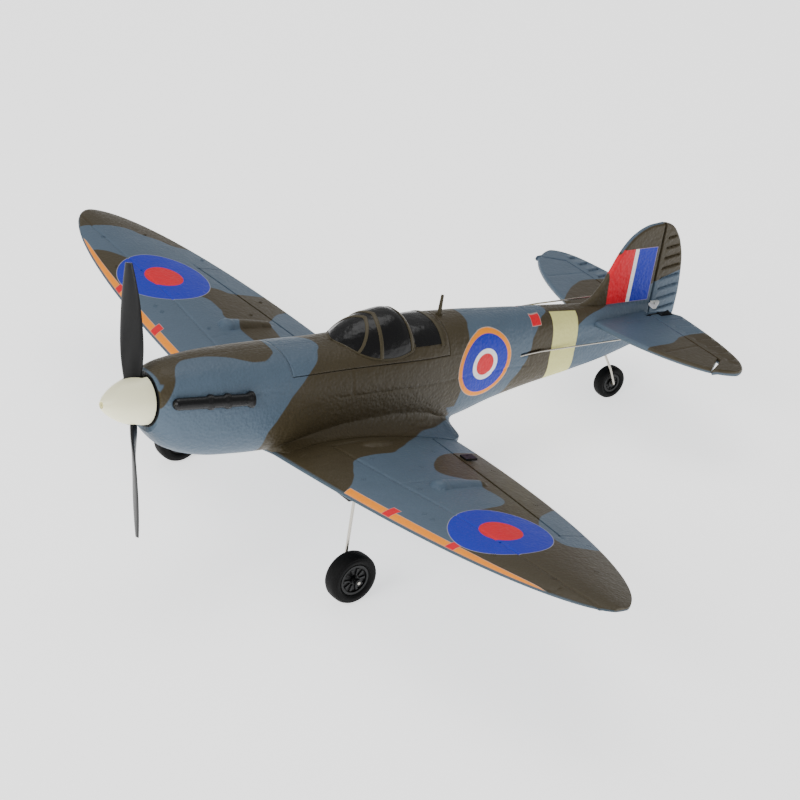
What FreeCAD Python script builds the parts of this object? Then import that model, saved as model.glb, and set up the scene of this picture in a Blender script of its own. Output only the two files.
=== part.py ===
"""Foam radio-control fighter model with an elliptical wing and a 450 mm span.

The aeroplane is drawn in its own flight datum: X to port, Y aft from the spinner tip, Z up from the
thrust line. At the end every sub-part is pitched nose-up and lowered, so the aeroplane stands on its
two main wheels and its tail wheel. Each sub-part is one node in parts/.
"""

import FreeCAD
import Part
import math
import os

Vector = FreeCAD.Vector
X_AXIS = Vector(1, 0, 0)
Y_AXIS = Vector(0, 1, 0)
Z_AXIS = Vector(0, 0, 1)

# ---------------------------------------------------------------- driving dimensions, mm and degrees
HALF_SPAN = 225.0
ROOT_LE = 89.6            # wing leading edge on the centreline
ROOT_TE = 187.5           # wing trailing edge on the centreline
TIP_Y = 127.8             # where both wing edges meet at the tip
DIHEDRAL = 5.75
CHORD_PLANE_Z = -31.7     # wing chord plane on the centreline at WING_DATUM_Y
WING_DATUM_Y = 100.0
WING_INCIDENCE = -0.54

NOSE_Y = 23.2             # front face of the cowl
TAIL_Y = 322.2            # rear end of the fuselage
WALL = 3.2                # foam wall of the fuselage shell
SECTION_POWER = 2.5       # superellipse power of the fuselage sections
SEAM_Z = 11.0             # lower edge of the lift-off hatch
HATCH_FRONT = 92.0
HATCH_REAR = 184.0
SEAM_GAP = 0.3

STAB_HALF_SPAN = 78.8
STAB_Z = 11.1
STAB_THICK = 3.0
STAB_ROOT_LE = 282.5
STAB_ROOT_TE = 336.4
STAB_TIP_Y = 319.2
ELEVATOR_HINGE_Y = 319.0
ELEVATOR_THROW = 20.0
JOINER_WEB = 7.0          # x of the elevator joiner's webs
JOINER_END = 10.8         # x of the joiner's ends

ANTENNA_FOOT = 22.4       # level of the antenna's foot in the deck
FIN_THICK = 3.4
RUDDER_HINGE_Y = 323.0
RUDDER_THROW = 25.0

AILERON_INNER = (31.0, 171.5)     # inboard end of the aileron hinge line (x, y)
AILERON_OUTER = (152.1, 151.7)    # outboard end of the aileron hinge line
AILERON_THROW = 20.0
HINGE_GAP = 0.35

PROP_RADIUS = 63.5        # five-inch propeller
PROP_TILT = -16.8         # rest angle of the blades about the thrust line
PROP_Y = 17.6
PROP_PITCH = 105.0
BLADE_Y = 16.9            # the blades lean forward of the hub's middle
BLADE_CHORDS = {3.5: 7.4, 9.0: 8.0, 16.0: 9.8, 24.0: 11.6, 32.0: 12.1, 41.0: 11.5, 49.0: 10.0,
                57.0: 7.3, 61.5: 5.4, PROP_RADIUS: 4.4}   # chord at each radius
SPINNER_LENGTH = 22.0
SPINNER_RADIUS = 11.9
SPINNER_APEX = 1.1        # how far the ogive is cut back at its tip

GEAR_MODULE = 0.4
PINION_TEETH = 9
SPUR_TEETH = 45
GEAR_FRONT = 29.6
GEAR_FACE = 2.4
SHAFT_RADIUS = 1.0
RUNNING = 0.05            # radial clearance of the running fits
BEARING_SPANS = [(33.4, 35.9), (49.5, 52.0)]
SCREW_X = (-10.0, 10.0)
SCREW_Z = 4.0

MAIN_WHEEL = (75.5, 99.8, -65.9)
MAIN_WHEEL_RADIUS = 12.5
MAIN_WHEEL_WIDTH = 9.0
TAIL_WHEEL = (0.0, 307.8, -26.9)
TAIL_WHEEL_RADIUS = 8.5
TAIL_WHEEL_WIDTH = 6.0
LEG_RADIUS = 0.75
GEAR_PLUG_Z = -26.5       # level of the leg's plug end in the wing
TAIL_LEG_RADIUS = 0.6

ROD_RADIUS = 0.4
ROD_CHANNEL = 1.7         # groove in the foam that a pushrod moves in
ARM_THICK = 1.2
LINK_ARM = 9.5            # servo arms and horns are equally long, so each linkage is a parallelogram

SERVO_LENGTH = 16.0
SERVO_WIDTH = 8.0
SERVO_HEIGHT = 14.0
SERVO_SHAFT_SET = 4.0     # shaft axis from the end of the servo case

# Fuselage stations: y, top z, bottom z, half width
STATIONS = [
    (NOSE_Y, 13.4, -14.8, 13.3),
    (29.0, 16.0, -21.0, 15.6),
    (37.0, 17.4, -25.4, 17.6),
    (50.0, 18.6, -29.3, 19.6),
    (70.0, 18.9, -31.2, 21.2),
    (95.0, 18.6, -31.6, 22.0),
    (125.0, 18.0, -31.8, 22.0),
    (148.0, 19.8, -32.0, 21.5),
    (172.0, 24.0, -32.0, 20.2),
    (192.0, 24.0, -31.6, 18.2),
    (206.0, 23.5, -28.6, 16.6),
    (220.0, 22.6, -24.6, 15.1),
    (245.0, 21.2, -19.7, 12.3),
    (272.0, 19.6, -15.8, 9.4),
    (298.0, 18.3, -11.3, 6.2),
    (TAIL_Y, 17.0, -5.2, 2.3),
]

# Canopy stations: y, half width, base z, top z
CANOPY = [
    (126.6, 6.5, 15.0, 18.3),
    (133.0, 11.4, 14.2, 22.8),
    (141.0, 14.8, 13.4, 27.2),
    (150.0, 16.4, 12.9, 29.8),
    (158.0, 16.5, 12.9, 30.3),
    (165.0, 15.9, 12.9, 28.4),
    (171.0, 15.6, 12.9, 25.2),
    (181.0, 15.2, 12.9, 24.7),
]


# ---------------------------------------------------------------- shape helpers
def box(low, high):
    size = [high[i] - low[i] for i in range(3)]
    return Part.makeBox(size[0], size[1], size[2], Vector(*low))


def cylinder(start, end, radius):
    start, end = Vector(*start), Vector(*end)
    along = end - start
    return Part.makeCylinder(radius, along.Length, start, along)


def tube(start, end, radius, bore):
    return cylinder(start, end, radius).cut(cylinder(start, end, bore))


def bent_wire(points, radius, bend=2.0):
    """Round wire along straight runs joined by tangent arcs."""
    points = [Vector(*p) for p in points]
    edges = []
    start = points[0]
    for before, corner, after in zip(points, points[1:], points[2:]):
        arriving = (corner - before).normalize()
        leaving = (after - corner).normalize()
        half_turn = arriving.getAngle(leaving) / 2
        shorter = min((corner - before).Length, (after - corner).Length)
        setback = min(max(bend, 0.0) * math.tan(half_turn), 0.45 * shorter)
        arc_radius = setback / math.tan(half_turn)
        entry = corner - arriving * setback
        leave = corner + leaving * setback
        towards = (leaving - arriving).normalize()
        middle = corner + towards * (arc_radius / math.cos(half_turn) - arc_radius)
        edges += [Part.makeLine(start, entry), Part.Arc(entry, middle, leave).toShape()]
        start = leave
    edges.append(Part.makeLine(start, points[-1]))
    first = points[1] - points[0]
    profile = Part.Wire(Part.makeCircle(radius, points[0], first))
    return Part.Wire(edges).makePipeShell([profile], True, False)


def polygon(points):
    corners = [Vector(*p) for p in points]
    return Part.Face(Part.makePolygon(corners + corners[:1]))


def closed_spline(points):
    curve = Part.BSplineCurve()
    curve.interpolate([Vector(*p) for p in points], PeriodicFlag=True)
    return Part.Wire(curve.toShape())


def open_spline(points):
    curve = Part.BSplineCurve()
    curve.interpolate([Vector(*p) for p in points])
    return curve.toShape()


def rounded_box(low, high, radius):
    shape = box(low, high)
    return shape.makeFillet(radius, shape.Edges)


def mirrored(shape):
    return shape.mirror(Vector(0, 0, 0), X_AXIS)


def revolve_y(profile):
    """Solid of revolution about the thrust line from (radius, y) points."""
    face = polygon([(r, y, 0) for r, y in profile])
    return face.revolve(Vector(0, 0, 0), Y_AXIS, 360)


# ---------------------------------------------------------------- fuselage
def superellipse(y, half_width, top, bottom, power):
    middle = 0.5 * (top + bottom) + 1.5
    points = []
    for i in range(24):
        angle = 2 * math.pi * i / 24
        c, s = math.cos(angle), math.sin(angle)
        reach = top - middle if s >= 0 else middle - bottom
        x = half_width * math.copysign(abs(c) ** (2 / power), c)
        z = middle + reach * math.copysign(abs(s) ** (2 / power), s)
        points.append((x, y, z))
    return closed_spline(points)


def fuselage_solid():
    wires = [superellipse(y, w, top, low, SECTION_POWER) for y, top, low, w in STATIONS]
    return Part.makeLoft(wires, True, False)


def cavity_solid():
    """Room for the motor, battery, board and servos, kept above the wing."""
    floor = -19.5
    wires = []
    for y, top, low, w in STATIONS[1:-3]:
        low_inside = max(low + WALL + 0.6, floor)
        wires.append(superellipse(y, w - WALL, top - WALL, low_inside, SECTION_POWER))
    return Part.makeLoft(wires, True, False)


def half_width_at(y, z):
    """Half width of the fuselage skin at a height, from the stations either side."""
    for a, b in zip(STATIONS, STATIONS[1:]):
        if a[0] <= y <= b[0]:
            k = (y - a[0]) / (b[0] - a[0])
            top, low, w = [a[i] + k * (b[i] - a[i]) for i in (1, 2, 3)]
            break
    middle = 0.5 * (top + low) + 1.5
    reach = top - middle if z >= middle else middle - low
    rise = min(abs(z - middle) / reach, 1.0)
    return w * (1 - rise ** SECTION_POWER) ** (1 / SECTION_POWER)


def fin_profile():
    """Fin and rudder together, as one closed outline in the plane of symmetry."""
    front = [(268, 17.0), (276, 19.2), (283, 22.0), (288, 27.5), (293, 36.8), (298, 46.8), (305, 54.8),
             (313, 59.0), (321.5, 60.2), (328.5, 58.2), (334, 52.2), (338, 43.5), (340.6, 30.0),
             (341.2, 16.0), (340.0, 6.0), (335.0, -0.6), (326.0, -3.6)]
    outline = open_spline([(0, y, z) for y, z in front])
    corners = [front[-1], (268.0, -3.6), front[0]]
    lines = [Part.makeLine(Vector(0, *a), Vector(0, *b)) for a, b in zip(corners, corners[1:])]
    face = Part.Face(Part.Wire([outline] + lines))
    solid = face.extrude(Vector(FIN_THICK, 0, 0))
    solid.translate(Vector(-FIN_THICK / 2, 0, 0))
    return solid


def root_fairings():
    """Concave fillets between the fuselage sides and the wing, flaring towards the trailing edge."""
    stations = [(93, 23.5, -24.5), (110, 25.5, -18.5), (135, 27.5, -15.0), (158, 28.8, -15.5),
                (176, 29.9, -19.0), (188, 30.1, -24.0), (202, 20.0, -27.5)]
    wires = []
    for y, outer, top in stations:
        inner = half_width_at(y, top)
        low = wing_upper_z(outer, min(y, ROOT_TE - 2)) - 0.5
        root = Vector(inner - 6, y, -30)
        high = Vector(inner - 0.3, y, top)
        edge = Vector(outer, y, low + 0.9)
        middle = Vector(inner + 0.30 * (outer - inner), y, low + 0.9 + 0.30 * (top - low))
        skirt = Vector(outer, y, -30.5)
        shoulder = Vector(inner - 6, y, top)
        edges = [Part.makeLine(root, shoulder), Part.makeLine(shoulder, high),
                 Part.Arc(high, middle, edge).toShape(), Part.makeLine(edge, skirt),
                 Part.makeLine(skirt, root)]
        wires.append(Part.Wire(edges))
    port = Part.makeLoft(wires, True, True)
    return [port, mirrored(port)]


# ---------------------------------------------------------------- wing
def wing_edges(x):
    """Leading and trailing edge of the elliptical planform."""
    k = min(abs(x) / HALF_SPAN, 1.0)
    lead = TIP_Y - (TIP_Y - ROOT_LE) * (1 - k ** 2.63) ** (1 / 1.8)
    trail = TIP_Y + (ROOT_TE - TIP_Y) * (1 - k ** 1.66) ** (1 / 1.83)
    return lead, trail


def chord_plane_z(x, y):
    rise = abs(x) * math.tan(math.radians(DIHEDRAL))
    slope = (y - WING_DATUM_Y) * math.tan(math.radians(WING_INCIDENCE))
    return CHORD_PLANE_Z + rise + slope


def section_height(t, chord, upper):
    """Height of the skin above or below the chord plane, at a fraction of the chord."""
    peak, power, depth = (0.38, 1.6, 0.075) if upper else (0.30, 1.8, 0.026)
    if t < peak:
        shape = math.sqrt(max(0.0, 1 - ((peak - t) / peak) ** 2))
    else:
        shape = 1 - ((t - peak) / (1 - peak)) ** power
    height = depth * (chord + 6) * shape + 0.6 * t
    return height if upper else -height


def wing_upper_z(x, y):
    lead, trail = wing_edges(x)
    t = (y - lead) / (trail - lead)
    return chord_plane_z(x, y) + section_height(t, trail - lead, True)


def wing_section(x):
    lead, trail = wing_edges(x)
    chord = trail - lead
    steps = [0.5 * (1 - math.cos(math.pi * i / 12)) for i in range(13)]
    rows = []
    for upper in (True, False):
        rows.append([(x, lead + t * chord,
                      chord_plane_z(x, lead + t * chord) + section_height(t, chord, upper))
                     for t in steps])
    top, low = rows
    edge = Part.makeLine(Vector(*top[-1]), Vector(*low[-1]))
    return Part.Wire([open_spline(top), edge, open_spline(low[::-1])])


def wing_solid():
    """Port half of the wing with its aileron still in place."""
    stations = [0, 28, 60, 95, 130, 160, 185, 203, 215, 221, 223.8]
    return Part.makeLoft([wing_section(x) for x in stations], True, False)


def hinge_point(x, y):
    """Point of the aileron hinge axis, half way through the wing's thickness."""
    lead, trail = wing_edges(x)
    t = (y - lead) / (trail - lead)
    chord = trail - lead
    middle = 0.5 * (section_height(t, chord, True) + section_height(t, chord, False))
    return Vector(x, y, chord_plane_z(x, y) + middle)


def aileron_axis():
    return hinge_point(*AILERON_INNER), hinge_point(*AILERON_OUTER)


def aileron_block():
    """Wedge that holds the aileron: its nose is a V with its point on the hinge axis."""
    start, end = aileron_axis()
    half = 9.0
    back = half * math.tan(math.radians(AILERON_THROW + 1))
    profile = [(0, 0), (back, half), (40, half), (40, -half), (back, -half)]
    corners = [Vector(start.x, start.y + v, start.z + n) for v, n in profile]
    face = Part.Face(Part.makePolygon(corners + corners[:1]))
    return face.extrude(end - start)


def aileron_opening():
    """Square-fronted slot in the wing that the aileron swings in."""
    start, end = aileron_axis()
    direction = (end - start).normalize()
    first = start - direction * HINGE_GAP
    half = 9.0
    profile = [(-HINGE_GAP, half), (40, half), (40, -half), (-HINGE_GAP, -half)]
    corners = [Vector(first.x, first.y + v, first.z + n) for v, n in profile]
    face = Part.Face(Part.makePolygon(corners + corners[:1]))
    return face.extrude(direction * ((end - start).Length + 2 * HINGE_GAP))


# ---------------------------------------------------------------- servo linkages
class Linkage:
    """A servo, its arm, a pushrod and a horn; arm and horn are parallel and equally long.

    origin is the hinge point beside the horn, u runs along the hinge axis, arm points from an axis
    to its pin, and shaft is where the servo's axis meets the arm's middle plane.
    """

    def __init__(self, hinge, shaft, u, arm, length=LINK_ARM):
        self.hinge = hinge
        self.shaft = shaft
        self.u = Vector(u).normalize()
        self.arm = Vector(arm).normalize()
        self.aft = self.u.cross(self.arm)
        self.length = length
        self.horn_pin = hinge + self.arm * length
        self.servo_pin = shaft + self.arm * length

    def at(self, base, u, aft, arm):
        return base + self.u * u + self.aft * aft + self.arm * arm

    def plate(self, base, outline, low, high):
        """Flat plate normal to the hinge axis, from (aft, arm) points."""
        corners = [self.at(base, low, a, r) for a, r in outline]
        face = Part.Face(Part.makePolygon(corners + corners[:1]))
        return face.extrude(self.u * (high - low))

    def block(self, base, low, high):
        outline = [(low[1], low[2]), (high[1], low[2]), (high[1], high[2]), (low[1], high[2])]
        return self.plate(base, outline, low[0], high[0])

    def pin_hole(self, pin):
        start = pin - self.u * 3
        return Part.makeCylinder(ROD_RADIUS + RUNNING, 6, start, self.u)

    def servo(self, side, lie):
        """Case, ears and splined shaft. side: which way the case lies along u; lie: which way aft."""
        gap = ARM_THICK / 2 + 0.4
        depth = [gap * side, (gap + SERVO_HEIGHT) * side]
        reach = [-SERVO_SHAFT_SET * lie, (SERVO_LENGTH - SERVO_SHAFT_SET) * lie]
        half = SERVO_WIDTH / 2
        case = self.block(self.shaft, (min(depth), min(reach), -half), (max(depth), max(reach), half))
        ear_u = [(gap + 3.0) * side, (gap + 4.2) * side]
        ears = self.block(self.shaft, (min(ear_u), min(reach) - 2.4, -half + 1),
                          (max(ear_u), max(reach) + 2.4, half - 1))
        shaft_start = self.shaft + self.u * (gap * side)
        collar = Part.makeCylinder(2.2, 0.25, shaft_start, self.u * -side)
        spline = Part.makeCylinder(1.0, gap, shaft_start, self.u * -side)
        return case.multiFuse([ears, collar, spline]).removeSplitter()

    def servo_arm(self):
        half = ARM_THICK / 2
        hub = Part.makeCylinder(2.3, ARM_THICK, self.at(self.shaft, -half, 0, 0), self.u)
        tip = Part.makeCylinder(1.2, ARM_THICK, self.at(self.servo_pin, -half, 0, 0), self.u)
        outline = [(-1.9, 0), (1.9, 0), (1.1, self.length), (-1.1, self.length)]
        blade = self.plate(self.shaft, outline, -half, half)
        arm = hub.multiFuse([tip, blade]).removeSplitter()
        bore = Part.makeCylinder(1.0 + RUNNING, 6, self.at(self.shaft, -3, 0, 0), self.u)
        return arm.cut(bore).cut(self.pin_hole(self.servo_pin))

    def horn_blade(self, root):
        """Triangular horn from the surface's root outline down to its pin."""
        half = ARM_THICK / 2
        outline = [root[0], root[1], (1.1, self.length), (-1.1, self.length)]
        blade = self.plate(self.hinge, outline, -half, half)
        tip = Part.makeCylinder(1.2, ARM_THICK, self.at(self.horn_pin, -half, 0, 0), self.u)
        return blade.fuse(tip).removeSplitter().cut(self.pin_hole(self.horn_pin))

    def rod_points(self, offset, route=()):
        """Points of the pushrod: a hooked end in each pin hole, offset beside the arms."""
        hook = -0.75 * math.copysign(1, offset)
        ends = [self.at(self.servo_pin, hook, 0, 0), self.at(self.servo_pin, offset, 0, 0)]
        ends_b = [self.at(self.horn_pin, offset, 0, 0), self.at(self.horn_pin, hook, 0, 0)]
        return ends + [Vector(*p) for p in route] + ends_b


def aileron_linkage():
    start, end = aileron_axis()
    u = (end - start).normalize()
    aft = Vector(-u.y, u.x, 0).normalize()
    arm = aft.cross(u)
    horn_station = start + u * 27.0
    return Linkage(horn_station, horn_station - aft * 42.0, u, arm)


ELEVATOR_LINK = Linkage(Vector(7.6, ELEVATOR_HINGE_Y, STAB_Z), Vector(12.4, 166.0, 3.6), X_AXIS, -Z_AXIS)
ELEVATOR_ROUTE = [(13.8, 172.0, -5.6), (13.2, 236.0, 2.7), (12.7, 246.0, 3.1)]
RUDDER_LINK = Linkage(Vector(0, RUDDER_HINGE_Y, 16.6), Vector(-3.0, 132.0, 0.6), Z_AXIS, -X_AXIS)
RUDDER_ROUTE = [(-12.4, 142.0, 2.3), (-10.4, 236.0, 16.8), (-9.5, 258.0, 18.0)]
AILERON_LINK = aileron_linkage()


def rod_channel(points, radius):
    pieces = [cylinder(tuple(a), tuple(b), radius) for a, b in zip(points, points[1:])]
    pieces += [Part.makeSphere(radius, p) for p in points[1:-1]]
    return pieces[0].multiFuse(pieces[1:])


# ---------------------------------------------------------------- drive train
def gear(teeth, centre, phase, bore, front, face, thin):
    """Spur gear about an axis parallel to Y; thin leaves working backlash between the flanks."""
    pitch_r = GEAR_MODULE * teeth / 2
    root_r = pitch_r - 1.25 * GEAR_MODULE
    tip_r = pitch_r + 0.85 * GEAR_MODULE
    quarter = math.pi / (2 * teeth)
    points = []
    for i in range(teeth):
        middle = phase + 2 * math.pi * i / teeth
        for radius, width in ((root_r, 1.25), (pitch_r, 0.92 - thin), (tip_r, 0.40)):
            points.append((radius, middle - quarter * width))
        for radius, width in ((tip_r, 0.40), (pitch_r, 0.92 - thin), (root_r, 1.25)):
            points.append((radius, middle + quarter * width))
    corners = [(centre[0] + r * math.sin(a), front, centre[1] + r * math.cos(a)) for r, a in points]
    blank = polygon(corners).extrude(Vector(0, face, 0))
    if not bore:
        return blank
    hole = cylinder((centre[0], front - 1, centre[1]), (centre[0], front + face + 1, centre[1]), bore)
    return blank.cut(hole)


def motor_centre():
    return 0.0, -GEAR_MODULE * (PINION_TEETH + SPUR_TEETH) / 2


def spur_gear():
    web = gear(SPUR_TEETH, (0, 0), 0.0, SHAFT_RADIUS, GEAR_FRONT, GEAR_FACE, 0.12)
    boss = tube((0, GEAR_FRONT - 1.4, 0), (0, GEAR_FRONT, 0), 2.6, SHAFT_RADIUS)
    holes = []
    for i in range(6):
        a = math.radians(30 + 60 * i)
        x, z = 5.6 * math.sin(a), 5.6 * math.cos(a)
        holes.append(cylinder((x, 20, z), (x, 40, z), 1.5))
    return web.cut(holes[0].multiFuse(holes[1:])).fuse(boss).removeSplitter()


def pinion():
    """Pinion on the motor's shaft; one of its teeth points up into a gap of the spur gear."""
    x, z = motor_centre()
    teeth = gear(PINION_TEETH, (x, z), 0.0, 0, GEAR_FRONT - 0.3, GEAR_FACE + 0.6, 0.12)
    shaft = cylinder((x, GEAR_FRONT, z), (x, 40.0, z), 0.5)
    return teeth.fuse(shaft).removeSplitter()


def motor():
    x, z = motor_centre()
    can = cylinder((x, 34.0, z), (x, 54.0, z), 4.25)
    can = can.makeFillet(0.5, [e for e in can.Edges if e.Length > 20 and len(e.Vertexes) == 1])
    neck = cylinder((x, 33.2, z), (x, 34.0, z), 1.6)
    tail = cylinder((x, 54.0, z), (x, 55.2, z), 3.4)
    return can.multiFuse([neck, tail]).cut(cylinder((x, 30, z), (x, 41, z), 0.5 + RUNNING))


def gearbox_frame():
    x, z = motor_centre()
    barrel = cylinder((0, 33.4, 0), (0, 50.0, 0), 3.6)
    ring = cylinder((x, 35.0, z), (x, 46.0, z), 5.4)
    web = box((-1.4, 35.0, z), (1.4, 50.0, 0))
    plate = box((-13.0, 50.0, -15.5), (13.0, 52.0, 7.0))
    frame = barrel.multiFuse([ring, web, plate]).removeSplitter()
    frame = frame.cut(cylinder((x, 30, z), (x, 56, z), 4.25))
    frame = frame.cut(cylinder((0, 30, 0), (0, 60, 0), 1.3))
    for start, end in BEARING_SPANS:
        frame = frame.cut(cylinder((0, start, 0), (0, end, 0), 2.5))
    for sx in SCREW_X:
        frame = frame.cut(cylinder((sx, 40, SCREW_Z), (sx, 60, SCREW_Z), 0.9))
    return frame


def shaft_bearings():
    rings = [tube((0, a, 0), (0, b, 0), 2.5, SHAFT_RADIUS + RUNNING) for a, b in BEARING_SPANS]
    return Part.makeCompound(rings)


def gearbox_screws():
    screws = []
    for x in SCREW_X:
        head = cylinder((x, 48.7, SCREW_Z), (x, 50.0, SCREW_Z), 1.7)
        shank = cylinder((x, 50.0, SCREW_Z), (x, 56.5, SCREW_Z), 0.9)
        slot = box((x - 1.3, 48.6, SCREW_Z - 0.2), (x + 1.3, 49.2, SCREW_Z + 0.2))
        screws.append(head.fuse(shank).cut(slot))
    return Part.makeCompound(screws)


def screw_posts():
    """Foam blocks behind the gearbox plate that take its screws."""
    return [box((-22, 52.0, -2.0), (-6.5, 60.0, 8.0)), box((6.5, 52.0, -2.0), (22, 60.0, 8.0))]


def spinner_radius(y):
    """Ogive radius; its apex lies ahead of the blunt rim at y = 0."""
    return SPINNER_RADIUS * (1 - (1 - (y + SPINNER_APEX) / (SPINNER_LENGTH + SPINNER_APEX)) ** 1.9) ** 0.72


def spinner():
    steps = [SPINNER_LENGTH * (i / 14) ** 1.5 for i in range(15)]
    curve = open_spline([(spinner_radius(y), y, 0) for y in steps])
    back = Part.makeLine(Vector(SPINNER_RADIUS, SPINNER_LENGTH, 0), Vector(0, SPINNER_LENGTH, 0))
    axis = Part.makeLine(Vector(0, SPINNER_LENGTH, 0), Vector(0, 0, 0))
    front = Part.makeLine(Vector(0, 0, 0), Vector(spinner_radius(0), 0, 0))
    solid = Part.Face(Part.Wire([front, curve, back, axis])).revolve(Vector(0, 0, 0), Y_AXIS, 360)
    inside = Part.makeCone(2.6, 10.4, 14.6, Vector(0, 7.4, 0), Y_AXIS)
    hole = cylinder((0, -1, 0), (0, 3.2, 0), 1.7)
    return solid.cut(inside).cut(hole).cut(blade_notch(1)).cut(blade_notch(-1))


def blade_notch(sign):
    """Slot in the spinner open to the rear, its front edge slanted to follow the blade root."""
    angle = blade_angle(0)
    half, thick = 4.6, 1.8
    corners = [(along * math.cos(angle) + across * math.sin(angle),
                BLADE_Y + along * math.sin(angle) - across * math.cos(angle))
               for along, across in ((-half, -thick), (-half, thick), (half, thick))]
    outline = [(corners[0][0], 23.0)] + corners + [(corners[2][0], 23.0)]
    notch = polygon([(x, y, 1.0) for x, y in outline]).extrude(Vector(0, 0, 12.4))
    notch.rotate(Vector(0, 0, 0), Y_AXIS, PROP_TILT + (0 if sign > 0 else 180))
    return notch


def blade_angle(radius):
    return math.atan2(PROP_PITCH, 2 * math.pi * max(radius, 15.0))


def spinner_backplate():
    plate = cylinder((0, SPINNER_LENGTH, 0), (0, SPINNER_LENGTH + 0.7, 0), SPINNER_RADIUS - 0.3)
    return plate.cut(cylinder((0, 20, 0), (0, 23, 0), SHAFT_RADIUS))


def blade_section(radius):
    """Thin cambered section at a radius, set at the pitch angle."""
    chord = BLADE_CHORDS[radius]
    thick = 2.5 - 1.6 * (radius - 5) / (PROP_RADIUS - 5)
    angle = blade_angle(radius)
    sweep = 0.9 * (radius / PROP_RADIUS) ** 3
    points = []
    for i in range(12):
        a = 2 * math.pi * i / 12
        along = chord / 2 * math.cos(a)
        across = thick / 2 * math.sin(a) + 0.035 * chord * (math.sin(a) ** 2 - 0.5)
        x = along * math.cos(angle) + across * math.sin(angle) - sweep
        y = BLADE_Y + along * math.sin(angle) - across * math.cos(angle)
        points.append((x, y, radius))
    return closed_spline(points)


def propeller():
    blade = Part.makeLoft([blade_section(r) for r in BLADE_CHORDS], True, False)
    other = blade.copy()
    other.rotate(Vector(0, PROP_Y, 0), Y_AXIS, 180)
    hub = cylinder((0, PROP_Y - 3, 0), (0, 21.4, 0), 4.4)
    shape = hub.multiFuse([blade, other]).removeSplitter()
    shape.rotate(Vector(0, 0, 0), Y_AXIS, PROP_TILT)
    shape = shape.cut(cylinder((0, SPINNER_LENGTH - 0.1, 0), (0, 25, 0), SPINNER_RADIUS))
    return shape.cut(cylinder((0, 5, 0), (0, 25, 0), SHAFT_RADIUS))


def prop_nut():
    flats = [(2.3 * math.cos(math.radians(60 * i)), 12.6, 2.3 * math.sin(math.radians(60 * i)))
             for i in range(6)]
    nut = polygon(flats).extrude(Vector(0, 2.0, 0))
    return nut.cut(cylinder((0, 10, 0), (0, 20, 0), SHAFT_RADIUS))


# ---------------------------------------------------------------- undercarriage
def main_leg():
    x, y, z = MAIN_WHEEL
    inboard = x - MAIN_WHEEL_WIDTH / 2 - LEG_RADIUS - 0.6
    outboard = x + MAIN_WHEEL_WIDTH / 2 + 2.4
    points = [(inboard - 9.0, y - 1.0, GEAR_PLUG_Z), (inboard - 0.4, y - 1.0, GEAR_PLUG_Z),
              (inboard, y, z), (outboard, y, z)]
    return bent_wire(points, LEG_RADIUS, 1.2)


def gear_block():
    """Plastic socket plate let into the underside of the wing; it grips the leg's plug end."""
    x = MAIN_WHEEL[0] - MAIN_WHEEL_WIDTH / 2 - LEG_RADIUS - 1.0
    low = chord_plane_z(x, MAIN_WHEEL[1]) - 2.7
    return rounded_box((x - 11.5, 93.0, low), (x + 3.5, 105.0, GEAR_PLUG_Z + 2.2), 0.6)


def wheel_pair(centre, radius, width, bore, rim):
    """Hub and tyre of one wheel, its axle along X."""
    x, y, z = centre
    half = width / 2
    low, high = (x - half, y, z), (x + half, y, z)
    tread = 0.34 * (radius - rim) + 1.2
    tyre = cylinder(low, high, radius)
    rims = [e for e in tyre.Edges if len(e.Vertexes) == 1 or e.Closed]
    tyre = tyre.makeFillet(tread, rims).cut(cylinder(low, high, rim))
    inset = 0.7
    hub = cylinder((x - half + inset, y, z), (x + half - inset, y, z), rim)
    dish = [tube((x + side * (half - inset - 1.8), y, z), (x + side * half, y, z), rim - 1.3, bore + 1.6)
            for side in (-1, 1)]
    for cut in dish:
        hub = hub.cut(cut)
    boss = cylinder(low, high, bore + 1.5)
    hub = hub.fuse(boss).removeSplitter().cut(cylinder((x - 20, y, z), (x + 20, y, z), bore))
    return hub, tyre


def tail_leg():
    x, y, z = TAIL_WHEEL
    side = TAIL_WHEEL_WIDTH / 2 + TAIL_LEG_RADIUS + 0.6
    points = [(1.2, 297.4, -2.0), (1.6, 300.0, -10.4), (side, 303.0, -17.2), (side, y, z),
              (-TAIL_WHEEL_WIDTH / 2 - 2.0, y, z)]
    return bent_wire(points, TAIL_LEG_RADIUS, 1.0)


def axle_retainers():
    x, y, z = MAIN_WHEEL
    start = x + MAIN_WHEEL_WIDTH / 2 + 0.35
    main = tube((start, y, z), (start + 1.8, y, z), 1.7, LEG_RADIUS)
    tx, ty, tz = TAIL_WHEEL
    end = -TAIL_WHEEL_WIDTH / 2 - 0.35
    tail = tube((end, ty, tz), (end - 1.4, ty, tz), 1.4, TAIL_LEG_RADIUS)
    return Part.makeCompound([main, mirrored(main), tail])


# ---------------------------------------------------------------- tail
def stab_edges(x):
    k = min(abs(x) / STAB_HALF_SPAN, 1.0)
    lead = STAB_TIP_Y - (STAB_TIP_Y - STAB_ROOT_LE) * (1 - k ** 1.63) ** (1 / 1.63)
    trail = STAB_TIP_Y + (STAB_ROOT_TE - STAB_TIP_Y) * (1 - k ** 2.2) ** (1 / 2.2)
    return lead, trail


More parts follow.
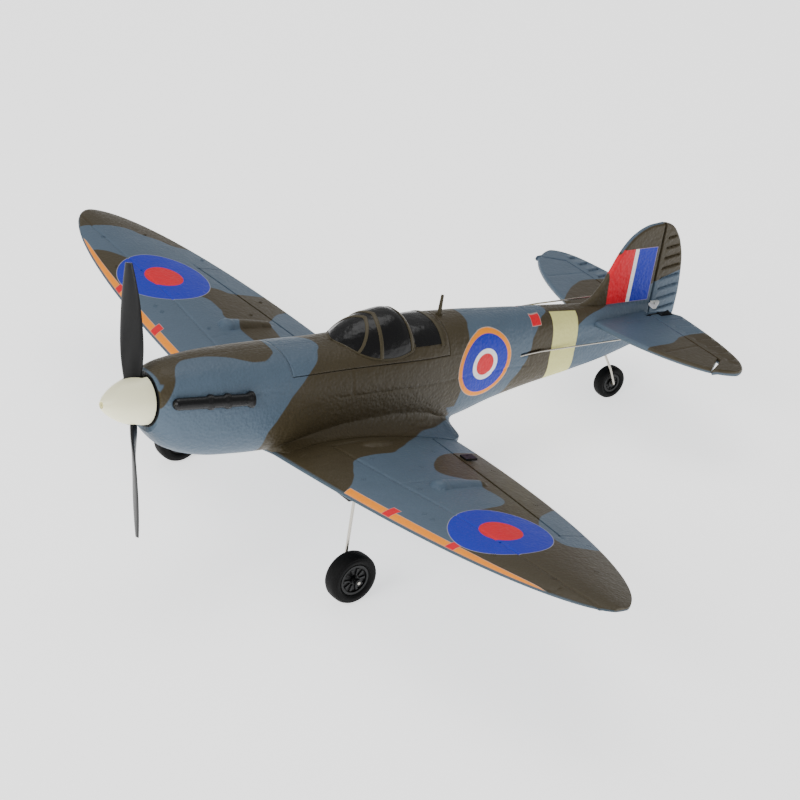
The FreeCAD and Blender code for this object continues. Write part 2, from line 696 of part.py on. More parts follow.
def stab_plate():
    """Whole tailplane and elevator as one plate with rounded edges."""
    fractions = [-1, -0.985, -0.93, -0.82, -0.65, -0.42, -0.2, 0, 0.2, 0.42, 0.65, 0.82, 0.93, 0.985]
    low, high = STAB_Z - STAB_THICK / 2, STAB_Z + STAB_THICK / 2
    lead = [(k * STAB_HALF_SPAN, stab_edges(k * STAB_HALF_SPAN)[0], low) for k in fractions + [1]]
    trail = [(k * STAB_HALF_SPAN, stab_edges(k * STAB_HALF_SPAN)[1], low) for k in fractions[1:]]
    wire = closed_spline(lead + trail[::-1])
    plate = Part.Face(wire).extrude(Vector(0, 0, high - low))
    return plate.makeFillet(1.1, [e for e in plate.Edges if e.Length > 100])


def wedge_along_x(x0, x1, nose_y, throw):
    half = 6.0
    back = half * math.tan(math.radians(throw + 1))
    profile = [(nose_y, 0), (nose_y + back, half), (345, half), (345, -half), (nose_y + back, -half)]
    face = polygon([(x0, y, STAB_Z + n) for y, n in profile])
    return face.extrude(Vector(x1 - x0, 0, 0))


def flat_prism(points, low=STAB_Z - 5, high=STAB_Z + 5):
    return polygon([(x, y, low) for x, y in points]).extrude(Vector(0, 0, high - low))


def elevator_half(plate):
    """Port half with its horn balance at the tip and a notch for the rudder."""
    hinge = ELEVATOR_HINGE_Y
    blade = plate.common(wedge_along_x(5.0, 62.6, hinge + 0.05, ELEVATOR_THROW))
    tip = plate.common(flat_prism([(62.4, hinge + 0.4), (73.2, 305.6), (95, 300), (95, 345), (62.4, 345)]))
    notch = flat_prism([(0, 300), (5.2, 300), (5.2, 327), (8, 332.5), (14, 337), (14, 345), (0, 345)])
    return blade.fuse(tip).removeSplitter().cut(notch)


def tailplane(plate):
    hinge = ELEVATOR_HINGE_Y - HINGE_GAP
    outline = [(0, 270), (95, 270), (71.8, 305.2), (61.0, hinge), (0, hinge)]
    port = plate.common(flat_prism(outline))
    whole = port.fuse(mirrored(port)).removeSplitter()
    reach = JOINER_END + 0.4
    bar_path = box((-reach, hinge - 1.2, STAB_Z - 1.35), (reach, hinge + 1, STAB_Z + 2))
    slot = JOINER_WEB - 0.4
    horn_path = box((slot, hinge - 3.2, STAB_Z - 3), (slot + ARM_THICK + 0.8, hinge + 1, STAB_Z + 3))
    return whole.cut(bar_path).cut(horn_path)


def elevator_joiner():
    """Torque bar through the tail, with a saddle on each elevator half and the horn to port."""
    hinge = ELEVATOR_HINGE_Y
    top = STAB_Z + STAB_THICK / 2
    inner, outer = JOINER_WEB, JOINER_END
    pieces = [cylinder((-outer, hinge, STAB_Z), (outer, hinge, STAB_Z), 1.0)]
    for side in (1, -1):
        xs = sorted((side * inner, side * outer))
        pieces.append(box((xs[0], hinge + 5.0, top), (xs[1], hinge + 12.5, top + 0.6)))
        webs = sorted((side * inner, side * (inner + ARM_THICK)))
        pieces.append(box((webs[0], hinge, STAB_Z - 0.5), (webs[1], hinge + 9.0, top + 0.1)))
    rib = [(outer, hinge + 5, top), (outer, hinge + 11, top), (outer, hinge + 9.4, top + 2.6)]
    pieces.append(polygon(rib).extrude(Vector(-ARM_THICK, 0, 0)))
    pieces.append(ELEVATOR_LINK.horn_blade([(-1.0, 0.0), (9.0, 0.0)]))
    return pieces[0].multiFuse(pieces[1:]).removeSplitter()


# ---------------------------------------------------------------- assembly in the flight datum
def linkage_set(link, offset, route, side, lie):
    rod = bent_wire([tuple(p) for p in link.rod_points(offset, route)], ROD_RADIUS)
    return link.servo(side, lie), link.servo_arm(), rod


def build():
    parts = {}
    fuselage = fuselage_solid()
    cavity = cavity_solid()
    wing = wing_solid()
    wing_pair = wing.fuse(mirrored(wing))

    # lift-off hatch and its canopy
    canopy_outer = canopy_solid(0.0)
    hatch_box = box((-30, HATCH_FRONT, SEAM_Z), (30, HATCH_REAR, 60))
    hatch_slot = box((-30, HATCH_FRONT - SEAM_GAP, SEAM_Z - SEAM_GAP), (30, HATCH_REAR + SEAM_GAP, 60))
    ledges = [(HATCH_FRONT, HATCH_FRONT + 6), (HATCH_REAR - 6, HATCH_REAR)]
    hatch = fuselage.common(hatch_box).cut(cavity)
    for y0, y1 in ledges:
        hatch = hatch.fuse(fuselage.common(box((-30, y0, SEAM_Z), (30, y1, SEAM_Z + 4))))
    glazing = canopy_outer.cut(canopy_solid(0.9)).cut(fuselage)
    hatch_magnets = [cylinder((0, 0.5 * (a + b), SEAM_Z), (0, 0.5 * (a + b), SEAM_Z + 1.5), 2.5)
                     for a, b in ledges]
    base_magnets = [cylinder((0, 0.5 * (a + b), SEAM_Z - SEAM_GAP - 1.5),
                             (0, 0.5 * (a + b), SEAM_Z - SEAM_GAP), 2.5) for a, b in ledges]
    parts["hatch_deck"] = hatch.cut(Part.makeCompound(hatch_magnets)).removeSplitter()
    parts["canopy_glazing"] = max(glazing.Solids, key=lambda solid: solid.Volume)
    parts["hatch_magnets"] = Part.makeCompound(hatch_magnets)
    parts["fuselage_magnets"] = Part.makeCompound(base_magnets)

    # drive train
    parts["spinner"] = spinner()
    parts["spinner_backplate"] = spinner_backplate()
    parts["propeller"] = propeller()
    parts["prop_nut"] = prop_nut()
    parts["prop_shaft"] = cylinder((0, 11.4, 0), (0, 53.5, 0), SHAFT_RADIUS)
    parts["spur_gear"] = spur_gear()
    parts["pinion"] = pinion()
    parts["motor"] = motor()
    parts["gearbox_frame"] = gearbox_frame()
    parts["gearbox_screws"] = gearbox_screws()
    parts["shaft_bearings"] = shaft_bearings()

    # electronics
    parts["battery"] = rounded_box((-10, 64, -12), (10, 104, -3), 1.6)
    parts["flight_board"] = flight_board()

    # linkages
    servo, arm, rod = linkage_set(ELEVATOR_LINK, 1.4, ELEVATOR_ROUTE, -1, 1)
    parts["elevator_servo"], parts["elevator_servo_arm"], parts["elevator_pushrod"] = servo, arm, rod
    servo, arm, rod = linkage_set(RUDDER_LINK, 1.4, RUDDER_ROUTE, -1, -1)
    parts["rudder_servo"], parts["rudder_servo_arm"], parts["rudder_pushrod"] = servo, arm, rod
    servo, arm, rod = linkage_set(AILERON_LINK, 1.4, (), -1, 1)
    for name, shape in (("aileron_servo", servo), ("aileron_servo_arm", arm), ("aileron_pushrod", rod)):
        parts[name + "_port"] = shape
        parts[name + "_starboard"] = mirrored(shape)

    # tail
    plate = stab_plate()
    joiner = elevator_joiner()
    elevator = elevator_half(plate).cut(joiner)
    parts["elevator_port"] = elevator
    parts["elevator_starboard"] = elevator_half(plate).cut(mirrored(joiner))
    parts["elevator_starboard"] = mirrored(parts["elevator_starboard"])
    parts["elevator_joiner"] = joiner
    parts["tailplane"] = tailplane(plate)
    fin_and_rudder = fin_profile()
    parts["rudder_horn"] = rudder_horn()
    parts["rudder"] = rudder(fin_and_rudder).cut(parts["rudder_horn"])
    fin = fin_and_rudder.common(box((-5, 260, -10), (5, TAIL_Y, 70)))

    # wing
    block = gear_block()
    leg = main_leg()
    parts["wing_spar"] = wing_spar()
    pocket = AILERON_LINK.block(AILERON_LINK.shaft, (-ARM_THICK / 2 - 0.6, -5.2, -3.4), (2.4, 5.2, 12))
    horn = aileron_horn()
    aileron = wing.common(aileron_block()).cut(horn)
    panel = wing.cut(aileron_opening())
    for tool in (servo, pocket, block, leg, parts["wing_spar"]):
        panel = panel.cut(tool)
    parts["wing_port_panel"] = panel
    parts["wing_starboard_panel"] = mirrored(panel)
    parts["aileron_port"] = aileron
    parts["aileron_starboard"] = mirrored(aileron)
    parts["aileron_horn_port"] = horn
    parts["aileron_horn_starboard"] = mirrored(horn)
    parts["gear_block_port"] = block.cut(leg)
    parts["gear_block_starboard"] = mirrored(parts["gear_block_port"])
    parts["main_leg_port"] = leg
    parts["main_leg_starboard"] = mirrored(leg)

    # wheels
    hub, tyre = wheel_pair(MAIN_WHEEL, MAIN_WHEEL_RADIUS, MAIN_WHEEL_WIDTH, LEG_RADIUS + RUNNING, 7.6)
    parts["main_hub_port"], parts["main_tyre_port"] = hub, tyre
    parts["main_hub_starboard"], parts["main_tyre_starboard"] = mirrored(hub), mirrored(tyre)
    hub, tyre = wheel_pair(TAIL_WHEEL, TAIL_WHEEL_RADIUS, TAIL_WHEEL_WIDTH, TAIL_LEG_RADIUS + RUNNING, 4.9)
    parts["tail_hub"], parts["tail_tyre"] = hub, tyre
    parts["tail_leg"] = tail_leg()
    parts["axle_retainers"] = axle_retainers()

    # fuselage halves
    parts["antenna_stub"] = antenna_stub()
    parts["exhaust_port"] = exhaust_stack().cut(fuselage)
    parts["exhaust_starboard"] = mirrored(exhaust_stack()).cut(fuselage)
    shell = fuselage.multiFuse(root_fairings() + [fin])
    shell = shell.cut(cavity).cut(hatch_slot)
    inner_blocks = screw_posts()
    for y0, y1 in ledges:
        inner_blocks.append(box((-30, y0, SEAM_Z - SEAM_GAP - 4), (30, y1, SEAM_Z - SEAM_GAP)))
    blocks = [fuselage.common(b) for b in inner_blocks]
    shell = shell.multiFuse(blocks).cut(wing_pair)
    shell = shell.cut(cylinder((0, NOSE_Y - 2, 0), (0, 40, 0), 4.0))
    shell = shell.cut(cylinder((-9, ELEVATOR_HINGE_Y, STAB_Z), (9, ELEVATOR_HINGE_Y, STAB_Z), 1.0 + RUNNING))
    elevator_path = ELEVATOR_LINK.rod_points(1.4, ELEVATOR_ROUTE)[2:6]
    rudder_path = RUDDER_LINK.rod_points(1.4, RUDDER_ROUTE)[2:6]
    shell = shell.cut(rod_channel(elevator_path, ROD_CHANNEL))
    shell = shell.cut(rod_channel(rudder_path, ROD_CHANNEL))
    for name in ("tailplane", "fuselage_magnets", "tail_leg", "gearbox_screws",
                 "elevator_servo", "rudder_servo", "gearbox_frame"):
        shell = shell.cut(parts[name])
    shell = shell.cut(box((-1.2, 186.3, ANTENNA_FOOT), (1.2, 188.7, ANTENNA_FOOT + 6)))
    parts["fuselage_port_half"] = shell.common(box((0, 0, -60), (60, 360, 80)))
    parts["fuselage_starboard_half"] = shell.common(box((-60, 0, -60), (0, 360, 80)))
    return parts


def canopy_solid(inset):
    """Bubble and rear glazing; its base is sunk in the deck."""
    wires = []
    for y, half_width, base, top in CANOPY:
        y = y + inset if y < 140 else y - (inset if y > 175 else 0)
        w, peak = half_width - inset, top - inset
        points = []
        for i in range(17):
            angle = math.pi * i / 16
            c, s = math.cos(angle), math.sin(angle)
            x = w * math.copysign(abs(c) ** (2 / 2.2), c)
            points.append((x, y, base + (peak - base) * s ** (2 / 2.2)))
        low = Part.makeLine(Vector(*points[-1]), Vector(*points[0]))
        wires.append(Part.Wire([open_spline(points), low]))
    return Part.makeLoft(wires, True, False)


def flight_board():
    board = box((-11, 106, -13.5), (11, 126, -12.3))
    chips = [box((-5, 110, -12.3), (1, 116, -11.1)), box((3, 118, -12.3), (8, 123, -11.3)),
             box((-9, 119, -12.3), (-2, 124, -8.3)), box((4, 108, -12.3), (10, 113, -9.8))]
    return board.multiFuse(chips).removeSplitter()


def antenna_stub():
    """Tapered mast on a square foot that is glued into the deck."""
    foot = box((-1.2, 186.3, ANTENNA_FOOT), (1.2, 188.7, ANTENNA_FOOT + 2.4))
    mast = Part.makeCone(1.1, 0.75, 11.0, Vector(0, 187.5, ANTENNA_FOOT + 1.0), Z_AXIS)
    return foot.fuse(mast).removeSplitter()


def exhaust_stack():
    """Row of three ejector pipes on the cowl, each ending in a raised lip."""
    nose = Vector(17.0, 27.2, 4.6)
    tail = Vector(21.9, 67.6, 4.4)
    length = (tail - nose).Length
    pipe, lip, mouth = 2.9, 3.7, 3.9
    profile = [(0, 0), (1.6, 0.4), (2.5, 1.3), (pipe, 2.8), (pipe, 16.8), (lip, 18.4), (lip, 19.8),
               (pipe, 20.0), (pipe, 25.6), (lip, 27.2), (lip, 28.6), (pipe, 28.8), (pipe, 37.6),
               (mouth, 39.4), (mouth, length), (0, length)]
    stack = revolve_y(profile)
    turn = FreeCAD.Rotation(Y_AXIS, tail - nose)
    stack.Placement = FreeCAD.Placement(nose, turn)
    return stack


def wing_spar():
    """Flat carbon strip under the skin, cranked at the centreline to follow the dihedral."""
    half = 118.0
    y0, y1 = 116.0, 119.0
    low = 1.2
    z0 = CHORD_PLANE_Z + low
    z1 = chord_plane_z(half, WING_DATUM_Y) + low
    outline = [(0, z0), (half, z1), (half, z1 + 1.2), (0, z0 + 1.2), (-half, z1 + 1.2), (-half, z1)]
    return polygon([(x, y0, z) for x, z in outline]).extrude(Vector(0, y1 - y0, 0))


def aileron_horn():
    """Horn under the aileron, its foot plate, two pegs and the lock plate on top."""
    link = AILERON_LINK
    lower, upper = 1.9, -2.6
    blade = link.horn_blade([(2.2, lower), (9.0, lower)])
    foot = link.block(link.hinge, (-2.6, 2.0, lower - 0.5), (2.6, 9.4, lower + 0.5))
    lock = link.block(link.hinge, (-3.0, 2.4, upper - 0.6), (3.0, 8.6, upper + 0.4))
    pegs = [Part.makeCylinder(0.7, 5.6, link.at(link.hinge, u, 5.6, lower + 0.4), -link.arm)
            for u in (-1.7, 1.7)]
    return blade.multiFuse([foot, lock] + pegs).removeSplitter()


def rudder(whole):
    nose = RUDDER_HINGE_Y + 0.05
    half = 6.0
    back = half * math.tan(math.radians(RUDDER_THROW + 1))
    profile = [(0, nose), (half, nose + back), (half, 345), (-half, 345), (-half, nose + back)]
    wedge = polygon([(x, y, -10) for x, y in profile]).extrude(Vector(0, 0, 80))
    return whole.common(wedge)


def rudder_horn():
    """Two-armed white horn through the foot of the rudder; the starboard arm takes the pushrod."""
    hinge = RUDDER_HINGE_Y
    low = RUDDER_LINK.hinge.z - ARM_THICK / 2
    arm = [(-9.5, hinge - 1.2), (-2.0, hinge + 0.6), (2.0, hinge + 0.6), (3.6, hinge - 2.6),
           (8.4, hinge - 3.4), (8.4, hinge - 1.6), (3.0, hinge + 5.0), (1.6, hinge + 5.0),
           (1.6, hinge + 3.0), (-1.6, hinge + 3.0), (-9.5, hinge + 1.2)]
    plate = polygon([(x, y, low) for x, y in arm]).extrude(Vector(0, 0, ARM_THICK))
    gap = [(2.6, hinge + 2.8), (4.0, hinge - 0.8), (6.4, hinge - 1.2)]
    window = polygon([(x, y, low - 1) for x, y in gap])
    tip = cylinder((-9.5, hinge, low), (-9.5, hinge, low + ARM_THICK), 1.2)
    horn = plate.fuse(tip).removeSplitter().cut(window.extrude(Vector(0, 0, 4)))
    return horn.cut(RUDDER_LINK.pin_hole(RUDDER_LINK.horn_pin))


# ---------------------------------------------------------------- stance and export
def ground_pitch():
    """Nose-up angle at which the main and tail wheels touch the same level."""
    run = TAIL_WHEEL[1] - MAIN_WHEEL[1]
    rise = TAIL_WHEEL[2] - MAIN_WHEEL[2]
    drop = MAIN_WHEEL_RADIUS - TAIL_WHEEL_RADIUS
    return math.atan2(rise, run) + math.asin(drop / math.hypot(run, rise))


PITCH = ground_pitch()
SHIFT_Y = -170.0
GROUND_Z = -MAIN_WHEEL[1] * math.sin(PITCH) + MAIN_WHEEL[2] * math.cos(PITCH) - MAIN_WHEEL_RADIUS


def stand(shape):
    """Turn a shape from the flight datum into the standing frame."""
    placed = shape.copy()
    placed.rotate(Vector(0, 0, 0), X_AXIS, -math.degrees(PITCH))
    placed.translate(Vector(0, SHIFT_Y, -GROUND_Z))
    return placed


def main():
    os.makedirs("parts", exist_ok=True)
    parts = build()
    for name, shape in parts.items():
        solids = shape.Solids
        body = solids[0] if len(solids) == 1 else Part.makeCompound(solids)
        body = stand(body)
        state = "valid" if body.isValid() else "INVALID"
        print(f"{name:26s} {len(solids)} solid(s) {body.Volume:10.1f} mm3 {state}")
        body.exportStep(os.path.join("parts", name + ".step"))
    print(len(parts), "nodes; pitch", round(math.degrees(PITCH), 3), "ground z", round(GROUND_Z, 3))


main()
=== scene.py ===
"""Looks of the foam fighter model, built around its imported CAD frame.

Shapes are drawn in the aeroplane's own flight datum, in millimetres: X to port, Y aft from the spinner
tip, Z up from the thrust line. stand() turns them into the row frame in metres.
"""
import math

import bpy
import numpy as np
from mathutils import Matrix, Vector


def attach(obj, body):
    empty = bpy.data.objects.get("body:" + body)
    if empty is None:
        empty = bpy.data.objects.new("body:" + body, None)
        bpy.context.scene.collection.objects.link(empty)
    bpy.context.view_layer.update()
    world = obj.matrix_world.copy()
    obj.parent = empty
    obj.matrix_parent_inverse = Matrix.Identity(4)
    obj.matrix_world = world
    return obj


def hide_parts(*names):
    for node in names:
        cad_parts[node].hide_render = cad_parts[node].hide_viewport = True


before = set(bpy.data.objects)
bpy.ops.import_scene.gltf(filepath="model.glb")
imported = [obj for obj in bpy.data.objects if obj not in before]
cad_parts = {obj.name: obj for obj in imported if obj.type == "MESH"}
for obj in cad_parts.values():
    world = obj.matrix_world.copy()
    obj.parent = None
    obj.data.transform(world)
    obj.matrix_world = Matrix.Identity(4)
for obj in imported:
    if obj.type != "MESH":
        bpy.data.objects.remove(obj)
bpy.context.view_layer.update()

# ---------------------------------------------------------------- flight datum and row frame
MAIN_WHEEL = (75.5, 99.8, -65.9)
MAIN_RADIUS, MAIN_WIDTH, MAIN_RIM = 12.5, 9.0, 7.6
TAIL_WHEEL = (0.0, 307.8, -26.9)
TAIL_RADIUS, TAIL_WIDTH, TAIL_RIM = 8.5, 6.0, 4.9
SHIFT_Y = -170.0

# Wing outline: both edges run from the root to one tip point. The chord plane passes through PLANE_Z at
# PLANE_Y on the centre line, with slopes outwards and aft.
TIP_Y, ROOT_LE, ROOT_TE, HALF_SPAN = 127.8, 89.6, 187.5, 225.0
LEAD_POWERS, TRAIL_POWERS = (2.63, 1.8), (1.66, 1.83)
PLANE_Y, PLANE_Z = 100.0, -31.7
DIHEDRAL, INCIDENCE = math.tan(math.radians(5.75)), math.tan(math.radians(0.54))
NOSE_Y, TAIL_Y = 23.2, 322.2
STAB_Z, STAB_HALF = 11.1, 1.5


def superellipse(share, power, root):
    """Falls from 1 at share 0 to 0 at share 1; takes numbers, arrays and node expressions."""
    return (1.0 - share ** power) ** (1 / root)


def ground_pitch():
    """Angle of the ground line under the main and tail tyres."""
    run = TAIL_WHEEL[1] - MAIN_WHEEL[1]
    rise = TAIL_WHEEL[2] - MAIN_WHEEL[2]
    return math.atan2(rise, run) + math.asin((MAIN_RADIUS - TAIL_RADIUS) / math.hypot(run, rise))


PITCH = ground_pitch()
GROUND = -MAIN_WHEEL[1] * math.sin(PITCH) + MAIN_WHEEL[2] * math.cos(PITCH) - MAIN_RADIUS


def stand(points):
    """Flight datum in millimetres to row frame in metres."""
    p = np.asarray(points, float)
    c, s = math.cos(-PITCH), math.sin(-PITCH)
    out = np.empty_like(p)
    out[..., 0] = p[..., 0]
    out[..., 1] = c * p[..., 1] - s * p[..., 2] + SHIFT_Y
    out[..., 2] = s * p[..., 1] + c * p[..., 2] - GROUND
    return out / 1000.0


def stand_direction(v):
    """A direction turned from the flight datum to the row frame."""
    c, s = math.cos(-PITCH), math.sin(-PITCH)
    return Vector((v[0], c * v[1] - s * v[2], s * v[1] + c * v[2]))


# ---------------------------------------------------------------- node expressions
class Tree:
    """The node tree that expressions are being written into."""
    nodes = None
    links = None


def feed(socket, value):
    if isinstance(value, Expr):
        Tree.links.new(value.socket, socket)
    else:
        socket.default_value = value


def add_node(kind, inputs=None, **settings):
    node = Tree.nodes.new(kind)
    for key, value in settings.items():
        setattr(node, key, value)
    for key, value in (inputs or {}).items():
        feed(node.inputs[key], value)
    return node


def op(kind, *values, clamp=False):
    node = add_node("ShaderNodeMath", operation=kind, use_clamp=clamp)
    for socket, value in zip(node.inputs, values):
        feed(socket, value)
    return Expr(node.outputs[0])


class Expr:
    """A scalar or colour socket with arithmetic."""

    def __init__(self, socket):
        self.socket = socket

    def __add__(self, other):
        return op("ADD", self, other)

    def __sub__(self, other):
        return op("SUBTRACT", self, other)

    def __rsub__(self, other):
        return op("SUBTRACT", other, self)

    def __mul__(self, other):
        return op("MULTIPLY", self, other)

    def __neg__(self):
        return op("MULTIPLY", self, -1.0)

    def __pow__(self, other):
        return op("POWER", self, other)


def largest(*fields):
    out = fields[0]
    for field in fields[1:]:
        out = op("MAXIMUM", out, field)
    return out


def smallest(*fields):
    out = fields[0]
    for field in fields[1:]:
        out = op("MINIMUM", out, field)
    return out


def size_of(field):
    return op("ABSOLUTE", field)


def edge(field, soft=0.35):
    """Mask from a signed distance in millimetres, positive inside."""
    return op("MULTIPLY_ADD", field, 1.0 / soft, 0.5, clamp=True)


def reach(a, b, ca, cb):
    """Distance from a centre in two coordinates."""
    da, db = a - ca, b - cb
    return op("SQRT", da * da + db * db)


def curve(field, points):
    """Smooth curve through given points of (input, output)."""
    lo, hi = points[0][0], points[-1][0]
    values = [v for _, v in points]
    low, span = min(values), max(values) - min(values)
    node = add_node("ShaderNodeFloatCurve", {"Value": (field - lo) * (1.0 / (hi - lo))})
    line = node.mapping.curves[0]
    scaled = [((p - lo) / (hi - lo), (v - low) / span) for p, v in points]
    line.points[0].location = scaled[0]
    line.points[1].location = scaled[-1]
    for at in scaled[1:-1]:
        line.points.new(*at)
    for point in line.points:
        point.handle_type = "AUTO_CLAMPED"
    node.mapping.update()
    return Expr(node.outputs[0]) * span + low


COLOUR_A, COLOUR_B, COLOUR_OUT = 6, 7, 2  # the mix node's colour sockets


def mix(mask, below, above):
    """One colour laid over another where the mask is 1."""
    node = add_node("ShaderNodeMix", data_type="RGBA")
    for socket, value in (("Factor", mask), (COLOUR_A, below), (COLOUR_B, above)):
        feed(node.inputs[socket], value)
    return Expr(node.outputs[COLOUR_OUT])


def srgb(code):
    """Linear colour from a six-digit hex code."""
    parts = [int(code[i:i + 2], 16) / 255 for i in (0, 2, 4)]
    linear = [c / 12.92 if c <= 0.04045 else ((c + 0.055) / 1.055) ** 2.4 for c in parts]
    return (*linear, 1.0)


def flight_coordinates():
    """The shaded point in the flight datum, in millimetres: as one vector, then as x, y and z."""
    origin = Matrix.Rotation(PITCH, 3, "X") @ Vector((0, SHIFT_Y, -GROUND))
    mapping = add_node("ShaderNodeMapping", {
        "Vector": Expr(add_node("ShaderNodeTexCoord").outputs["Object"]), "Location": -origin,
        "Rotation": (PITCH, 0, 0), "Scale": (1000, 1000, 1000)})
    vector = Expr(mapping.outputs[0])
    split = add_node("ShaderNodeSeparateXYZ", {0: vector})
    return vector, *[Expr(split.outputs[i]) for i in range(3)]


def noise(vector, scale, detail=2.0):
    return Expr(add_node("ShaderNodeTexNoise", {"Vector": vector, "Scale": scale, "Detail": detail,
                                                "Roughness": 0.5}).outputs[0])


def beads(vector, scale):
    return Expr(add_node("ShaderNodeTexVoronoi", {"Vector": vector, "Scale": scale, "Smoothness": 0.6},
                         feature="SMOOTH_F1").outputs["Distance"])


def tint(shader, colour, value):
    """Base colour with its brightness varied by a field."""
    hsv = add_node("ShaderNodeHueSaturation", {"Value": value, "Color": colour})
    feed(shader.inputs["Base Color"], Expr(hsv.outputs[0]))


def relief_on(shader, height):
    """Surface relief from a height field in millimetres."""
    node = add_node("ShaderNodeBump", {"Strength": 1.0, "Distance": 0.001, "Height": height})
    feed(shader.inputs["Normal"], Expr(node.outputs["Normal"]))


def new_material(name, roughness=0.5, metallic=0.0, coat=0.0, gloss=0.3):
    material = bpy.data.materials.new(name)
    material.use_nodes = True
    Tree.nodes = material.node_tree.nodes
    Tree.links = material.node_tree.links
    shader = Tree.nodes["Principled BSDF"]
    for socket, value in (("Roughness", roughness), ("Metallic", metallic), ("Coat Weight", coat),
                          ("Specular IOR Level", gloss)):
        feed(shader.inputs[socket], value)
    return material, shader


# ---------------------------------------------------------------- paint
BLUE_GREY = srgb("4f6070")
OLIVE = srgb("403826")
UNDERSIDE = srgb("485763")
ORANGE = srgb("ff9414")
RED = srgb("de1026")
BLUE = srgb("1427b0")
WHITE = srgb("ffffff")
CREAM = srgb("dcd98c")
# painted shade: colour of the dark cowl opening, painted on the nose face
SHADE_BLACK = srgb("151515")
OUTLINE = srgb("b9b6aa")

CAMO_SOFT = 0.7  # width of the sprayed edge between the two camouflage colours, mm
LINE = 0.15      # width of the pale line round the wing markings, mm
WING_DISC, WING_RINGS = (143.1, 124.8), ((24.1, OUTLINE), (23.9, BLUE), (10.05, RED))
FLAG_SPANS, FLAG_HALF, FLAG_DEPTH, FLAG_LEAN = (100.0, 142.0), 2.5, 6.0, 0.25
BODY_DISC = (208.5, 2.3)
BODY_RINGS = ((17.35, OUTLINE), (17.1, ORANGE), (14.9, BLUE), (8.05, WHITE), (5.65, RED))


def finish_foam(shader, vector, colour, bead_depth):
    """Mottled satin paint over moulded foam beads."""
    broad = noise(vector, 0.09, 3.0) * 0.16 + 0.92
    fine = noise(vector, 1.3, 3.0) * 0.12 + 0.94
    tint(shader, colour, broad * fine)
    feed(shader.inputs["Roughness"], noise(vector, 0.6, 2.0) * 0.16 + 0.40)
    height = beads(vector, 0.62) * bead_depth + noise(vector, 0.16, 2.0) * (bead_depth * 1.6)
    relief_on(shader, height + noise(vector, 1.6, 2.0) * (bead_depth * 0.25))


def port_wing_olive(span, y):
    root = curve(y, [(88, 71), (94, 69.8), (99, 65.8), (106, 56), (113, 48.6), (120, 47.8), (132, 48.5),
                     (141, 44), (156, 33.5), (168, 26), (180, 21.8), (192, 15)]) - span
    outer = y - curve(span, [(40, 215), (49, 185), (51, 167), (55, 157), (60, 151), (68, 144), (74, 141.5),
                             (79, 143), (85, 150), (90, 153.5), (97, 152), (104, 152.8), (110, 152.4),
                             (116, 147), (119, 136), (122, 114), (130, 105), (145, 100), (150, 94),
                             (156, 70)])
    tip_gap = y - curve(span, [(116, 215), (122, 174), (126, 166), (131, 158), (137, 152), (147, 146),
                               (157, 145.6), (163, 147), (166.5, 154), (168.5, 163), (172, 215)])
    return largest(root, smallest(outer, -tip_gap))


def starboard_wing_olive(span, y):
    cap = y - curve(span, [(168, 190), (175, 159), (178, 152), (184, 147.6), (190, 140.5), (197, 136),
                           (201, 129), (204, 120), (208, 112), (212, 95)])
    nose = smallest(curve(span, [(150, 122), (166, 117), (172, 114), (178, 110), (182, 106), (185, 100),
                                 (190, 90)]) - y, span - 144.0)
    band_low = curve(span, [(52, 150), (64, 139), (77, 135.7), (86, 135), (93, 137.5), (99, 134),
                            (107, 136.4), (116, 136), (125, 126), (135, 118)])
    band_high = curve(span, [(52, 146), (64, 151), (84, 155), (91, 155.7), (96, 161), (103, 170),
                             (110, 186), (120, 190), (122.5, 168), (124, 153), (128, 149), (131, 140),
                             (135, 110)])
    band = smallest(y - band_low, band_high - y)
    inner = curve(y, [(88, 36), (105, 30), (130, 34), (150, 30), (170, 24), (188, 20)]) - span
    return largest(cap, nose, band, inner)


def wing_markings(colour, span, y, lead, top):
    """Leading-edge stripe, its two red flags and the roundel, all on the top face."""
    depth = curve(span, [(60, 3.5), (100, 3.6), (140, 3.3), (165, 2.6), (187, 1.6), (198, 0.0)])
    stripe = smallest(top, lead + depth - y, span - 70.8)
    along = span - (y - lead) * FLAG_LEAN
    flags = largest(*[FLAG_HALF - size_of(along - place) for place in FLAG_SPANS])
    flags = smallest(flags, lead + FLAG_DEPTH - y, top)
    for field, paint in ((stripe, ORANGE), (flags, RED)):
        colour = mix(edge(smallest(field + LINE, top)), colour, OUTLINE)
        colour = mix(edge(field), colour, paint)
    disc = reach(span, y, *WING_DISC)
    for radius, paint in WING_RINGS:
        colour = mix(edge(smallest(radius - disc, top)), colour, paint)
    return colour


def wing_paint():
    material, shader = new_material("wing_foam_paint")
    vector, x, y, z = flight_coordinates()
    span = size_of(x)
    sway = noise(vector, 0.045, 1.0) * 3.0 - 1.5
    k = op("MINIMUM", span * (1 / HALF_SPAN), 1.0)
    lead = TIP_Y - superellipse(k, *LEAD_POWERS) * (TIP_Y - ROOT_LE)
    plane = span * DIHEDRAL - (y - PLANE_Y) * INCIDENCE + PLANE_Z
    top = smallest(z - plane, y - lead - 0.55)
    side = edge(x, 0.2)
    olive = port_wing_olive(span, y) * side + starboard_wing_olive(span, y) * (1.0 - side)
    olive = smallest(olive + sway * 0.5, top)
    colour = mix(edge(top), UNDERSIDE, BLUE_GREY)
    colour = mix(edge(olive, CAMO_SOFT), colour, OLIVE)
    finish_foam(shader, vector, wing_markings(colour, span, y, lead, top), 0.12)
    return material


